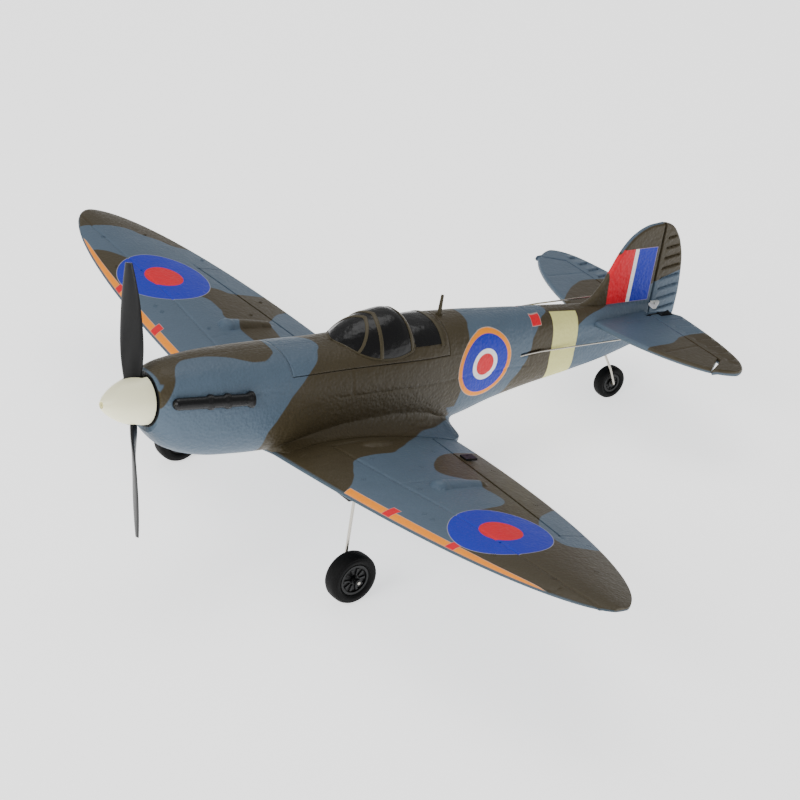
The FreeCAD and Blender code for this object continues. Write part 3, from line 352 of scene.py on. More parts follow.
def fuselage_olive(x, y, z, side, sway):
    """Saddle over the wing root, band on the tail, cowl top, its front tongue, and the fin."""
    saddle_front = curve(z, [(-34, 80.5), (-24, 80), (-16, 80.5), (-9, 84), (-3, 87.5), (3, 91.5),
                             (9, 98), (12, 102.5), (15, 107.8), (17.3, 111), (19, 117), (40, 120)])
    saddle_rear = curve(z, [(-34, 190), (-26, 192.5), (-14, 194.5), (20, 198.2), (24, 200), (40, 200)])
    fillet = curve(y, [(88, 71), (113, 60), (132, 60), (150, 40), (162, 29.5), (168, 26), (180, 21.8),
                       (192, 15), (200, 10)]) - side
    saddle = smallest(y - saddle_front, saddle_rear - y, largest(z + 18.5, fillet))
    tail_front = curve(z, [(-30, 218), (-16, 228), (-11, 230), (-6, 234), (0, 237.6), (5, 239.2),
                           (10, 240), (15, 243.5), (19, 247), (21, 253), (30, 256)])
    tail_rear = curve(z, [(-30, 262), (9, 263), (12, 271), (14, 274), (16.2, 280), (18.1, 292), (20, 300),
                          (30, 330)])
    tail = smallest(y - tail_front, tail_rear - y)
    spine = curve(y, [(22, 16), (26, 15), (28, 13.8), (30, 11.3), (32, 8), (34, 4.7), (37, 2), (41, 0.6),
                      (51, 1.5), (57, 3), (63, 5.2), (69, 8.5), (75, 10.8), (79, 11), (82, 10), (85, 7.8),
                      (87, 6), (89, -4), (91, -16)]) - x
    spine = smallest(spine, z - 12.0, y - 24.5)
    tongue = curve(z, [(0, 21), (2, 24.1), (5, 26), (8, 27.6), (13, 30.4), (20, 34)]) - y
    tongue = smallest(tongue, z - 1.5, x, y - curve(z, [(0, 20), (8, 23), (13, 26), (20, 26)]))
    fin = z - curve(y, [(270, 70), (281, 40), (284, 22), (287, 18.4), (292, 18.3), (300, 20), (310, 24),
                        (318, 28), (322, 31.3), (329, 33.4), (338, 34.9), (345, 36)])
    return largest(largest(saddle, tail, spine, tongue) + sway, fin)


def fuselage_markings(colour, side, y, z):
    """Tail band, roundel, small red square and fin flash."""
    raked = y - largest(-z - 2.0, 0.0) * 0.15
    cream = smallest(raked - 253.7, 271.0 - raked, largest(side - 4.2, 16.5 - z), z + 17.0)
    colour = mix(edge(cream), colour, CREAM)
    disc = reach(y, z, *BODY_DISC)
    for radius, paint in BODY_RINGS:
        colour = mix(edge(smallest(radius - disc, side - 5.0)), colour, paint)
    square = smallest(2.9 - size_of(y - 242.9), 2.1 - size_of(z - 18.3), side - 3.0)
    colour = mix(edge(square + 0.2), colour, OUTLINE)
    colour = mix(edge(square), colour, RED)
    front = curve(z, [(18, 293.2), (34.4, 292.2), (47.4, 298.8), (50, 300)])
    flash = smallest(y - front, 320.4 - y, z - 18.5, 47.4 - z, 3.0 - side)
    colour = mix(edge(flash), colour, RED)
    colour = mix(edge(smallest(flash, y - 305.9)), colour, WHITE)
    return mix(edge(smallest(flash, y - 308.3)), colour, BLUE)


def fuselage_paint():
    material, shader = new_material("fuselage_foam_paint")
    vector, x, y, z = flight_coordinates()
    side = size_of(x)
    olive = fuselage_olive(x, y, z, side, noise(vector, 0.05, 1.0) * 2.4 - 1.2)
    rim = smallest(0.9 - side, z - 46.0, 321.5 - y)
    olive = smallest(olive, -rim, z + 29.8)
    colour = mix(edge(z + 28.5, 1.0), UNDERSIDE, BLUE_GREY)
    colour = mix(edge(olive, CAMO_SOFT), colour, OLIVE)
    colour = fuselage_markings(colour, side, y, z)
    # Painted shade: a black disc on the closed face behind the spinner stands in for the dark inside of the
    # cowl opening.
    nose_opening_shade = smallest(12.9 - reach(side, z, 0.0, 0.0), 24.6 - y)
    finish_foam(shader, vector, mix(edge(nose_opening_shade), colour, SHADE_BLACK), 0.24)
    return material


def tail_paint():
    material, shader = new_material("tailplane_foam_paint")
    vector, x, y, z = flight_coordinates()
    sway = noise(vector, 0.06, 1.0) * 1.6 - 0.8
    port = x - curve(y, [(280, 41), (293, 40.2), (304, 40), (312, 37), (320, 34), (331, 34.3), (345, 36)])
    starboard = curve(y, [(280, 17), (286, 21.5), (292, 27), (304, 34.8), (313, 37.9), (321, 37.4),
                          (345, 34)]) + x
    starboard = smallest(starboard, -x)
    olive = smallest(largest(port, starboard) + sway, z - STAB_Z)
    colour = mix(edge(z - STAB_Z, 0.5), UNDERSIDE, BLUE_GREY)
    colour = mix(edge(olive, CAMO_SOFT), colour, OLIVE)
    finish_foam(shader, vector, colour, 0.10)
    return material


def plain_material(name, code, roughness, metallic=0.0, coat=0.0, grain=1.0, relief=0.02, spread=0.12,
                   gloss=0.3):
    """Moulded plastic, rubber or metal with a fine mottle and relief."""
    material, shader = new_material(name, roughness, metallic, coat, gloss)
    vector = flight_coordinates()[0]
    tint(shader, srgb(code), noise(vector, grain * 0.4, 3.0) * (2 * spread) + (1 - spread))
    feed(shader.inputs["Roughness"], noise(vector, grain * 1.7, 2.0) * 0.14 + (roughness - 0.07))
    relief_on(shader, noise(vector, grain * 2.2, 3.0) * relief)
    return material


def canopy_paint():
    """Black gloss plastic with the faint hammered look of the moulding."""
    material, shader = new_material("canopy_black_gloss", 0.2)
    vector = flight_coordinates()[0]
    tint(shader, srgb("060607"), noise(vector, 0.5, 3.0) * 0.5 + 0.75)
    feed(shader.inputs["Roughness"], noise(vector, 0.35, 3.0) * 0.22 + 0.14)
    relief_on(shader, beads(vector, 0.42) * 0.14 + noise(vector, 0.9, 2.0) * 0.05)
    return material


wing_foam = wing_paint()
body_foam = fuselage_paint()
tail_foam = tail_paint()
canopy_black = canopy_paint()
frame_olive = plain_material("canopy_frame_olive", "453e2c", 0.45, grain=0.8, relief=0.05)
spinner_cream = plain_material("spinner_cream_plastic", "fffcd4", 0.34, coat=0.1, gloss=0.5, grain=0.4,
                               relief=0.004, spread=0.03)
black_nylon = plain_material("black_nylon", "0a0a0b", 0.42, grain=1.2, relief=0.015)
blade_black = plain_material("blade_black_nylon", "101011", 0.38, grain=0.7, relief=0.01)
white_nylon = plain_material("white_nylon", "e9e9e4", 0.42, grain=1.0, relief=0.01, spread=0.04)
exhaust_black = plain_material("exhaust_black_plastic", "08080a", 0.30, grain=0.7, relief=0.12)
steel = plain_material("steel_wire", "b9b4aa", 0.28, metallic=1.0, grain=2.0, relief=0.006, spread=0.08)
motor_metal = plain_material("motor_can", "8f9296", 0.32, metallic=1.0, grain=1.4, relief=0.006)
magnet_metal = plain_material("magnet_nickel", "a8aaad", 0.25, metallic=1.0, grain=1.4, relief=0.004)
tyre_black = plain_material("tyre_rubber", "090909", 0.66, grain=1.6, relief=0.05, gloss=0.14)
battery_blue = plain_material("battery_wrap", "2d4f7d", 0.35, grain=0.6, relief=0.05)
board_green = plain_material("circuit_board", "1f4a33", 0.4, grain=1.8, relief=0.04)
servo_grey = plain_material("servo_case", "26282c", 0.35, grain=1.0, relief=0.01)
carbon = plain_material("carbon_strip", "1b1c1e", 0.3, grain=2.2, relief=0.03)


# ---------------------------------------------------------------- mesh helpers
FOAM = "camouflaged_foam"  # value passed as the slot argument of the painted foam pieces


def new_object(name, data):
    obj = bpy.data.objects.new(name, data)
    bpy.context.scene.collection.objects.link(obj)
    return obj


def outline(x, y, z):
    """Points from three arrays or numbers."""
    return np.stack(np.broadcast_arrays(x, y, z), axis=1)


def hermite(points):
    """Smooth curve through (position, value) stations with finite-difference slopes."""
    xs = np.array([p[0] for p in points], float)
    ys = np.array([p[1] for p in points], float)
    slopes = np.gradient(ys, xs)

    def at(x):
        x = np.clip(np.asarray(x, float), xs[0], xs[-1])
        i = np.clip(np.searchsorted(xs, x) - 1, 0, len(xs) - 2)
        h = xs[i + 1] - xs[i]
        t = (x - xs[i]) / h
        return (ys[i] * (2 * t**3 - 3 * t**2 + 1) + slopes[i] * h * (t**3 - 2 * t**2 + t)
                + ys[i + 1] * (3 * t**2 - 2 * t**3) + slopes[i + 1] * h * (t**3 - t**2))
    return at


def distance_along(p):
    return np.concatenate([[0], np.cumsum(np.linalg.norm(np.diff(p, axis=0), axis=1))])


def station_curves(stations):
    """One smooth curve per column of the stations, over their first column."""
    return [hermite([(s[0], s[i]) for s in stations]) for i in range(1, len(stations[0]))]


def path_through(points, per_span=24):
    """Dense smooth polyline through the given points."""
    p = np.array(points, float)
    chord = distance_along(p)
    t = np.linspace(0, chord[-1], per_span * (len(p) - 1) + 1)
    return np.stack([hermite(list(zip(chord, p[:, i])))(t) for i in range(p.shape[1])], axis=1)


def resample(points, count):
    """The same polyline with evenly spaced points."""
    p = np.asarray(points, float)
    run = distance_along(p)
    t = np.linspace(0, run[-1], count)
    return np.stack([np.interp(t, run, p[:, i]) for i in range(p.shape[1])], axis=1)


def grid_faces(rows, cols, wrap=False, keep=None):
    """Quads of a grid; wrap joins the last column to the first, keep marks the cells to fill."""
    faces = []
    for r in range(rows - 1):
        for c in range(cols if wrap else cols - 1):
            if keep is None or keep[r][c]:
                d = (c + 1) % cols
                faces.append((r * cols + c, r * cols + d, (r + 1) * cols + d, (r + 1) * cols + c))
    return faces


def faces_outward(verts, faces):
    """Faces, reversed if they look towards the middle of their own shape."""
    p = np.asarray(verts, float)
    centre = p.mean(axis=0)
    quads = np.array([f for f in faces if len(f) == 4])
    a, b, c, d = [p[quads[:, i]] for i in range(4)]
    total = (np.cross(c - a, d - b) * ((a + c) / 2 - centre)).sum()
    return faces if total > 0 else [f[::-1] for f in faces]


def closed(rows):
    """A capped tube through closed loops of points."""
    return Build().grid(np.array(rows), wrap=True, caps=True)


class Build:
    """Vertices and faces of one piece, in the flight datum."""

    def __init__(self):
        self.verts = []
        self.faces = []

    def grid(self, points, wrap=False, caps=False, keep=None):
        rows, cols = points.shape[:2]
        faces = grid_faces(rows, cols, wrap, keep)
        if caps:
            faces.append(tuple(range(cols))[::-1])
            faces.append(tuple((rows - 1) * cols + c for c in range(cols)))
        return self.add(points.reshape(-1, 3), faces)

    def add(self, points, faces):
        base = len(self.verts)
        self.verts.extend(np.asarray(points, float).tolist())
        self.faces.extend(tuple(base + i for i in f) for f in faces_outward(points, faces))
        return self

    def join(self, other):
        """Take in another shape, whose faces already look outwards."""
        base = len(self.verts)
        self.verts.extend(other.verts)
        self.faces.extend([tuple(base + i for i in f) for f in other.faces])
        return self

    def block(self, corners):
        """Hexahedron from its four low and four high corners."""
        return self.add(corners, [(3, 2, 1, 0), (4, 5, 6, 7), (0, 1, 5, 4), (1, 2, 6, 5), (2, 3, 7, 6),
                                  (3, 0, 4, 7)])

    def mirrored(self):
        other = Build()
        other.verts = [(-x, y, z) for x, y, z in self.verts]
        other.faces = [f[::-1] for f in self.faces]
        return other

    def piece(self, name, material, body, nodes=(), slot=None, sharp=35, wall=0.0):
        mesh = bpy.data.meshes.new(name)
        mesh.from_pydata(stand(np.array(self.verts)).tolist(), [], self.faces)
        mesh.validate()
        mesh.shade_smooth()
        mesh.set_sharp_from_angle(angle=math.radians(sharp))
        mesh.materials.append(material)
        obj = new_object(name, mesh)
        if wall:
            solid = obj.modifiers.new("wall", "SOLIDIFY")
            solid.thickness = wall / 1000.0
            solid.offset = -1.0
        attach(obj, body)
        if nodes:
            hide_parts(*nodes)
        return obj


def groove(a, b, lines, half_width=0.55):
    """Depth share, 0 to 1, of engraved polylines in two coordinates."""
    out = np.zeros_like(a)
    for line in lines:
        for (a0, b0), (a1, b1) in zip(line, line[1:]):
            length2 = (a1 - a0) ** 2 + (b1 - b0) ** 2
            t = np.clip(((a - a0) * (a1 - a0) + (b - b0) * (b1 - b0)) / length2, 0, 1)
            d = np.hypot(a - a0 - t * (a1 - a0), b - b0 - t * (b1 - b0))
            out = np.maximum(out, np.exp(-(d / half_width) ** 2))
    return out


# ---------------------------------------------------------------- wing
HINGE = ((31.0, 171.5), (152.1, 151.7))  # aileron hinge line, inner and outer end
GAP = 0.35
BEVEL = math.tan(math.radians(21))       # nose bevel of ailerons and elevators, 1 degree over their travel
RUDDER_BEVEL = math.tan(math.radians(26))
BLISTER = (90.5, 125.5, 157.0, 4.8, 3.0)  # place across, front, rear, radius, height
FAIRING_LUMP = (36, 134, 4.0, 9.0, 1.3)   # place across, place along, half width, half length, height
WING_LINE_DEPTH = 0.45
WING_LINES = [[(33, 112), (81, 114), (116, 116.3), (199.5, 117.8), (221, 120)],
              [(81.3, 114), (83, 127)], [(31, 112), (30, 160)], [(198, 109.5), (199.5, 117.8)],
              [(152.4, 151.6), (156, 151)]]
VENTS = [(26.7, 99.9), (51.3, 119.6), (68.4, 102.6), (67.3, 136.7), (89.9, 118.7), (112.3, 105.0),
         (48.6, 158.0), (100.6, 151.2), (160.5, 107.2), (190.9, 116.9), (162.6, 160.9), (190.3, 142.2),
         (118.5, 104.8), (36.0, 100.0)]
AILERON_VENTS = [(72.7, 176.5), (115.9, 167.5)]
TICK_ALONG, TICK_ACROSS, TICK_STEP, TICK_SUNK, TICK_HIGH = 0.9, 0.16, 0.85, 0.3, 0.16
TICK_DIRECTION = (-0.77, 0.64)


def wing_edges(x):
    """Y of the leading and trailing edges."""
    k = np.clip(np.abs(x) / HALF_SPAN, 0, 1)
    lead = TIP_Y - (TIP_Y - ROOT_LE) * superellipse(k, *LEAD_POWERS)
    trail = TIP_Y + (ROOT_TE - TIP_Y) * superellipse(k, *TRAIL_POWERS)
    return lead, trail


def chord_plane(x, y):
    return PLANE_Z + np.abs(x) * DIHEDRAL - (y - PLANE_Y) * INCIDENCE


def section_height(t, chord, upper):
    """Height of the skin over the chord plane at the share t of the chord."""
    peak, power, depth = (0.38, 1.6, 0.075) if upper else (0.30, 1.8, 0.026)
    t = np.clip(t, 0, 1)
    front = np.sqrt(np.clip(1 - ((peak - t) / peak) ** 2, 0, 1))
    rear = 1 - (np.clip(t - peak, 0, 1) / (1 - peak)) ** power
    height = depth * (chord + 6) * np.where(t < peak, front, rear) + 0.6 * t
    return height if upper else -height


def hinge_y(x):
    (x0, y0), (x1, y1) = HINGE
    return y0 + (x - x0) * (y1 - y0) / (x1 - x0)


def wing_relief(x, y):
    """Raised blister and small fairing, and engraved lines, on top of the wing."""
    cx, front, rear, radius, high = BLISTER
    bulb = np.sqrt(np.clip(1 - ((x - cx) ** 2 + (y - front - radius) ** 2) / radius ** 2, 0, 1))
    along = np.clip((y - front - radius) / (rear - front - radius), 0, 1)
    width = radius * (0.95 - 0.42 * along)
    ridge = np.clip(1 - ((x - cx) / width) ** 2, 0, 1) ** 0.5 * (0.90 - 0.42 * along)
    ridge = ridge * (y > front + radius) * np.clip((rear - y) / 1.5, 0, 1)
    out = high * np.maximum(bulb, ridge)
    lump_x, lump_y, half_width, half_length, lump_high = FAIRING_LUMP
    lump = np.clip(1 - ((x - lump_x) / half_width) ** 2 - ((y - lump_y) / half_length) ** 2, 0, 1)
    return out + lump_high * np.sqrt(lump) - WING_LINE_DEPTH * groove(x, y, WING_LINES)


def wing_low(x, y):
    lead, trail = wing_edges(x)
    return chord_plane(x, y) + section_height((y - lead) / (trail - lead), trail - lead, False)


def wing_top(x, y):
    lead, trail = wing_edges(x)
    skin = chord_plane(x, y) + section_height((y - lead) / (trail - lead), trail - lead, True)
    return skin + wing_relief(x, y)


def wing_stations():
    """Rows across the span, doubled where the trailing edge steps at the aileron's two ends."""
    step_in, step_out, tip_from = HINGE[0][0] - GAP, HINGE[1][0] + GAP, 214
    return np.concatenate([np.linspace(0, step_in, 32), np.linspace(step_in + 0.001, step_out, 132),
                           np.linspace(step_out + 0.001, tip_from, 62),
                           tip_from + 9.75 * np.sin(np.linspace(0, math.pi / 2, 16))[1:]])


def wing_panel():
    """Port panel: each row runs over the top to the leading edge and back underneath."""
    rows = []
    up = np.linspace(1, 0, 112)
    share_up = 0.5 * (0.72 * up + 0.28 * (1 - np.cos(math.pi * up / 2))) + 0.5 * up ** 1.5
    share_down = np.linspace(0, 1, 44)[1:] ** 1.5
    for x in wing_stations():
        lead, trail = wing_edges(x)
        on_hinge = HINGE[0][0] - GAP < x <= HINGE[1][0] + GAP
        end = hinge_y(x) - GAP if on_hinge else trail
        faces = []
        for share, height in ((share_up, wing_top), (share_down, wing_low)):
            y = lead + (end - lead) * share
            faces.append(outline(x, y, height(x, y)))
        rows.append(np.concatenate(faces))
    build = closed(np.array(rows)[:, ::-1])
    vents(build, VENTS, wing_top)
    return build


def vents(build, places, height):
    """Groups of three raised moulding ticks."""
    ux, uy = TICK_DIRECTION
    for cx, cy in places:
        for step in (-TICK_STEP, 0.0, TICK_STEP):
            x0, y0 = cx + step * uy, cy - step * ux
            foot, head = [], []
            for a, b in ((-1, -1), (1, -1), (1, 1), (-1, 1)):
                along, across = a * TICK_ALONG, b * TICK_ACROSS
                px, py = x0 + ux * along - uy * across, y0 + uy * along + ux * across
                z = float(height(np.array([px]), np.array([py]))[0])
                foot.append((px, py, z - TICK_SUNK))
                head.append((px, py, z + TICK_HIGH))
            build.block(foot[::-1] + head[::-1])


def aileron():
    """Port aileron, with a bevelled nose on the hinge line."""
    rows = []
    for x in np.linspace(HINGE[0][0], HINGE[1][0], 124):
        trail = wing_edges(x)[1]
        pivot = hinge_y(x)
        middle = 0.5 * (wing_top(x, pivot) + wing_low(x, pivot))
        rise = (wing_top(x, pivot) - middle) * BEVEL
        y_up = pivot + rise + (trail - pivot - rise) * np.linspace(1, 0, 26)
        y_low = pivot + rise + (trail - pivot - rise) * np.linspace(0, 1, 14)
        top = [(x, y, float(wing_top(x, y))) for y in y_up]
        low = [(x, y, float(wing_low(x, y))) for y in y_low]
        rows.append(top + [(x, pivot + 0.03, float(middle))] + low)
    build = closed(np.array(rows)[:, ::-1])
    vents(build, AILERON_VENTS, wing_top)
    return build


port_wing = wing_panel()
port_aileron = aileron()
for side, shape, flap in (("port", port_wing, port_aileron),
                          ("starboard", port_wing.mirrored(), port_aileron.mirrored())):
    shape.piece(f"wing_skin_{side}", wing_foam, "airframe", [f"wing_{side}_panel"], FOAM)
    flap.piece(f"aileron_skin_{side}", wing_foam, f"aileron_{side}", [f"aileron_{side}"], FOAM)


# ---------------------------------------------------------------- fuselage
# Hull stations: place along, top, bottom and half width.
STATIONS = [
    (23.2, 13.4, -14.8, 13.3), (29.0, 16.0, -21.0, 15.6), (37.0, 17.4, -25.4, 17.6),
    (50.0, 18.6, -29.3, 19.6), (70.0, 18.9, -31.2, 21.2), (95.0, 18.6, -31.6, 22.0),
    (125.0, 18.0, -31.8, 22.0), (148.0, 19.8, -32.0, 21.5), (172.0, 24.0, -32.0, 20.2),
    (192.0, 24.0, -31.6, 18.2), (206.0, 23.5, -28.6, 16.6), (220.0, 22.6, -24.6, 15.1),
    (245.0, 21.2, -19.7, 12.3), (272.0, 19.6, -15.8, 9.4), (298.0, 18.3, -11.3, 6.2),
    (322.2, 17.0, -5.2, 2.3)]
TOP, LOW, WIDTH = station_curves(STATIONS)
HULL_POWER, WAIST_LIFT = 2.5, 1.5
SEAM_Z, SEAM_GAP = 11.0, 0.3
HATCH = (92.0, 184.0)
# Wing root fairing: place along, reach outwards, and height where it leaves the hull.
FAIRING = [(86, 20.5, -25.5), (93, 23.5, -24.5), (110, 25.5, -18.5), (135, 27.5, -15.0),
           (158, 28.8, -15.5), (176, 29.9, -19.0), (188, 30.1, -24.0), (202, 19.0, -27.5)]
FAIR_OUT, FAIR_TOP = station_curves(FAIRING)
BODY_LINES = [
    [(90.8, 10.0), (90.8, -22)], [(125.5, 10.4), (125.6, -3.0)],
    [(118.5, -1.4), (159, -2.2), (225, -2.8), (238, -3.6)], [(240, 22), (240, -3.6)],
    [(203, 19.2), (227, 19.9), (240, 20.4)], [(272, 20), (272, 12.5)],
    [(161.0, -12.6), (161.3, -17.5), (163.5, -20.6), (168, -22.6), (180, -24.4)],
    [(70, 5.8), (88, 5.6)]]
ROD_SLOTS = [[(234.0, 2.8), (247.0, 3.4)]]
BODY_LINE_DEPTH, ROD_SLOT_DEPTH = 0.34, 1.7
HULL_WALL = 2.4
DECK_COLS, SIDE_COLS, FAIR_COLS, BELLY_COLS = 34, 52, 18, 16


def outline_at(y):
    """Top, bottom, waist height and half width of the hull."""
    top, low = float(TOP(y)), float(LOW(y))
    return top, low, 0.5 * (top + low) + WAIST_LIFT, float(WIDTH(y))


def side_at(y, z):
    """Half width of the hull at a height."""
    top, low, waist, width = outline_at(y)
    depth = top - waist if z >= waist else waist - low
    rise = min(abs(z - waist) / depth, 1.0)
    return width * superellipse(rise, HULL_POWER, HULL_POWER)


def hull_arc(y, z_from, z_to, count):
    """Part of the hull's outline between two heights, evenly spaced."""
    top, low, waist, width = outline_at(y)
    a = np.linspace(math.pi / 2, -math.pi / 2, 600)
    tall = np.where(a >= 0, top - waist, waist - low)
    z = waist + tall * np.sign(np.sin(a)) * np.abs(np.sin(a)) ** (2 / HULL_POWER)
    x = width * np.abs(np.cos(a)) ** (2 / HULL_POWER)
    ends = [(side_at(y, v), v) for v in (z_from, z_to)]
    inside = (z < z_from - 1e-6) & (z > z_to + 1e-6)
    line = [ends[0]] + list(zip(x[inside], z[inside])) + [ends[1]]
    return resample(line, count)


def root_flare(y, split, low):
    """Outline of the root fairing: out to the wing's top skin, then under to the keel."""
    outer, inner = float(FAIR_OUT(y)), side_at(y, split)
    wing_y = min(max(y, 92.0), ROOT_TE - 2)
    lead, trail = wing_edges(outer)
    skin = chord_plane(outer, wing_y) + section_height((wing_y - lead) / (trail - lead), trail - lead, True)
    rest = float(skin) + 0.35
    s = np.linspace(0, 1, FAIR_COLS + 1)[1:] * math.pi / 2
    sweep = np.stack([inner + (outer - inner) * (1 - np.cos(s)) ** 0.85,
                      rest + (split - rest) * (1 - np.sin(s)) ** 0.9], axis=1)
    under = resample([(outer, rest), (outer - 0.2, -30.5), (13.0, low + 0.3), (0.0, low)], BELLY_COLS + 1)
    return np.concatenate([sweep, under[1:]])


def hull_row(y):
    """Half outline at one station: deck, side, root fairing, belly."""
    top, low = outline_at(y)[:2]
    split = max(float(FAIR_TOP(y)), low + 2.0)
    deck = hull_arc(y, top, SEAM_Z, DECK_COLS)
    side = hull_arc(y, SEAM_Z - SEAM_GAP, split, SIDE_COLS)
    belly = hull_arc(y, split, low, FAIR_COLS + BELLY_COLS + 1)[1:]
    share = min(1.0, max(0.0, (y - 87.5) / 5.0)) * min(1.0, max(0.0, (201 - y) / 11.0))
    if share > 0:
        share = share * share * (3 - 2 * share)
        belly = belly + (root_flare(y, split, low) - belly) * share
    row = np.concatenate([deck, side, belly])
    return outline(row[:, 0], y, row[:, 1])


def engrave(rows):
    """Sink the panel lines and the pushrod slots into the hull's grid."""
    tangent = np.gradient(rows, axis=1)
    normal = np.stack([-tangent[..., 2], np.zeros(rows.shape[:2]), tangent[..., 0]], axis=2)
    normal /= np.linalg.norm(normal, axis=2, keepdims=True) + 1e-9
    y, z = rows[..., 1], rows[..., 2]
    depth = BODY_LINE_DEPTH * groove(y, z, BODY_LINES) + ROD_SLOT_DEPTH * groove(y, z, ROD_SLOTS, 0.75)
    depth = depth * (rows[..., 0] > 0.5)
    return rows - normal * depth[..., None]


def faired(ys, rows, passes=4):
    """Rows evened out along the fuselage, so that reflections run smoothly."""
    share = ((ys[1:-1] - ys[:-2]) / (ys[2:] - ys[:-2]))[:, None, None]
    across = rows[..., [0, 2]]
    for _ in range(passes):
        between = across[:-2] * (1 - share) + across[2:] * share
        across[1:-1] = 0.5 * across[1:-1] + 0.5 * between
    rows[..., [0, 2]] = across
    return rows


def hull_rows():
    """Stations and rows of the hull, with two close rows at each end of the hatch for its seam."""
    front, rear = HATCH
    ys = np.concatenate([np.arange(NOSE_Y, 91.2, 0.85), [front - SEAM_GAP, front],
                         np.arange(92.8, 183.6, 0.85), [rear, rear + SEAM_GAP],
                         np.arange(185.1, 322.0, 0.95), [TAIL_Y]])
    return ys, engrave(faired(ys, np.array([hull_row(y) for y in ys])))


def fuselage_half():
    """Port half of the hull: a face behind the spinner, the skin without the hatch, a closed tail."""
    ys, rows = hull_rows()
    angle = np.linspace(0, math.pi, rows.shape[1])
    ring = outline(4.0 * np.sin(angle), NOSE_Y, 4.0 * np.cos(angle))
    nose = []
    for k in (0.0, 0.35, 0.75, 0.95):
        face = ring + (rows[0] - ring) * k
        face[:, 1] = NOSE_Y - 0.7 * (1 - k) * k
        nose.append(face)
    tail = rows[-1].copy()
    tail[:, 0] *= 0.02
    tail[:, 1] = TAIL_Y + 0.1
    full = np.concatenate([np.array(nose), rows, tail[None]])
    all_y = np.concatenate([[0] * len(nose), ys, [TAIL_Y + 0.1]])
    keep = np.ones((len(full) - 1, full.shape[1] - 1), bool)
    open_rows = (all_y[:-1] >= HATCH[0] - SEAM_GAP - 0.01) & (all_y[:-1] < HATCH[1] + SEAM_GAP - 0.01)
    keep[np.ix_(open_rows, np.arange(DECK_COLS))] = False
    return Build().grid(full[:, ::-1], keep=keep[:, ::-1])


def hatch_half():
    ys, rows = hull_rows()
    inside = (ys >= HATCH[0] - 0.01) & (ys <= HATCH[1] + 0.01)
    return Build().grid(rows[inside][:, :DECK_COLS][:, ::-1])


FIN_FRONT = path_through([(266, 14.0), (268, 17.0), (276, 19.2), (283, 22.0), (288, 27.5), (293, 36.8),
                          (298, 46.8), (305, 54.8), (313, 59.0), (321.5, 60.2)])
FIN_REAR = path_through([(321.5, 60.2), (328.5, 58.2), (334, 52.2), (338, 43.5), (340.6, 30.0),
                         (341.2, 16.0), (340.0, 6.0), (335.0, -0.6), (326.0, -3.6)])
FIN_HALF, RIB_DEPTH = 1.7, 0.9
RUDDER_HINGE = 323.0


def fin_front(z):
    return np.interp(z, FIN_FRONT[:, 1], FIN_FRONT[:, 0])


def fin_rear(z):
    return np.interp(-z, -FIN_REAR[:, 1], FIN_REAR[:, 0])


def rounding(distance, radius, half):
    """Half thickness near a rounded edge, at a distance from it."""
    k = np.clip(distance / radius, 0, 1)
    return half * np.sqrt(np.clip(1 - (1 - k) ** 2, 0, 1))


def fin_half():
    """Port half of the fin, closed on the plane of symmetry."""
    rows = []
    for z in np.concatenate([np.linspace(12, 56, 60), np.linspace(56.6, 60.1, 10)]):
        start = float(fin_front(z))
        ys = start + (TAIL_Y - start) * np.linspace(0, 1, 44) ** 1.6
        from_top = np.interp(ys, FIN_FRONT[:, 0], FIN_FRONT[:, 1]) - z
        gap = np.minimum(ys - start, from_top)
        skin = outline(rounding(gap, 1.7, FIN_HALF), ys, z)
        if z < 58:
            skin[-1, 0] = FIN_HALF
        flat = skin[::-1].copy()
        flat[:, 0] = 0.0
        rows.append(np.concatenate([skin, flat]))
    return closed(rows)


hull = fuselage_half()
fin = fin_half()
deck = hatch_half()
for side, skin, blade in (("port", hull, fin), ("starboard", hull.mirrored(), fin.mirrored())):
    skin.piece(f"fuselage_skin_{side}", body_foam, "airframe", [f"fuselage_{side}_half"], FOAM,
               wall=HULL_WALL)
    blade.piece(f"fin_skin_{side}", body_foam, "airframe", slot=FOAM)
deck.join(deck.mirrored())
deck.piece("hatch_skin", body_foam, "hatch", ["hatch_deck"], FOAM, wall=HULL_WALL)


# ---------------------------------------------------------------- rudder and tailplane
def pleats(value, pitch, depth):
    """Saw-tooth ribs: each strip rises towards the next rib."""
    phase = value / pitch - np.floor(value / pitch)
    return depth * (phase - 0.5) - 0.5 * depth * np.exp(-(np.minimum(phase, 1 - phase) * pitch / 0.5) ** 2)


def rib_window(place, low, high, fade):
    """1 between two bounds, fading to 0 over a distance inside each."""
    return np.clip((place - low) / fade, 0, 1) * np.clip((high - place) / fade, 0, 1)


def rudder():
    rows = []
    front = RUDDER_HINGE + FIN_HALF * RUDDER_BEVEL
    for z in np.linspace(-3.5, 60.0, 150):
        end = float(fin_rear(z))
        ys = front + (end - front) * np.linspace(0, 1, 30)
        half = rounding(np.minimum(end - ys, 60.4 - z), 1.6, FIN_HALF)
        ribbed = rib_window(ys, 326.0, end - 1.5, 1.0) * rib_window(z, 2, 56, 2)
        half = half + ribbed * pleats(z - 0.17 * (ys - 326) - 0.6, 5.62, RIB_DEPTH)
        port = outline(np.clip(half, 0.02, None), ys, z)
        starboard = port[::-1] * np.array([-1, 1, 1])
        rows.append(np.concatenate([[[0.0, RUDDER_HINGE + 0.05, z]], port, starboard]))
    return closed(rows)


rudder().piece("rudder_skin", body_foam, "rudder", ["rudder"], FOAM)

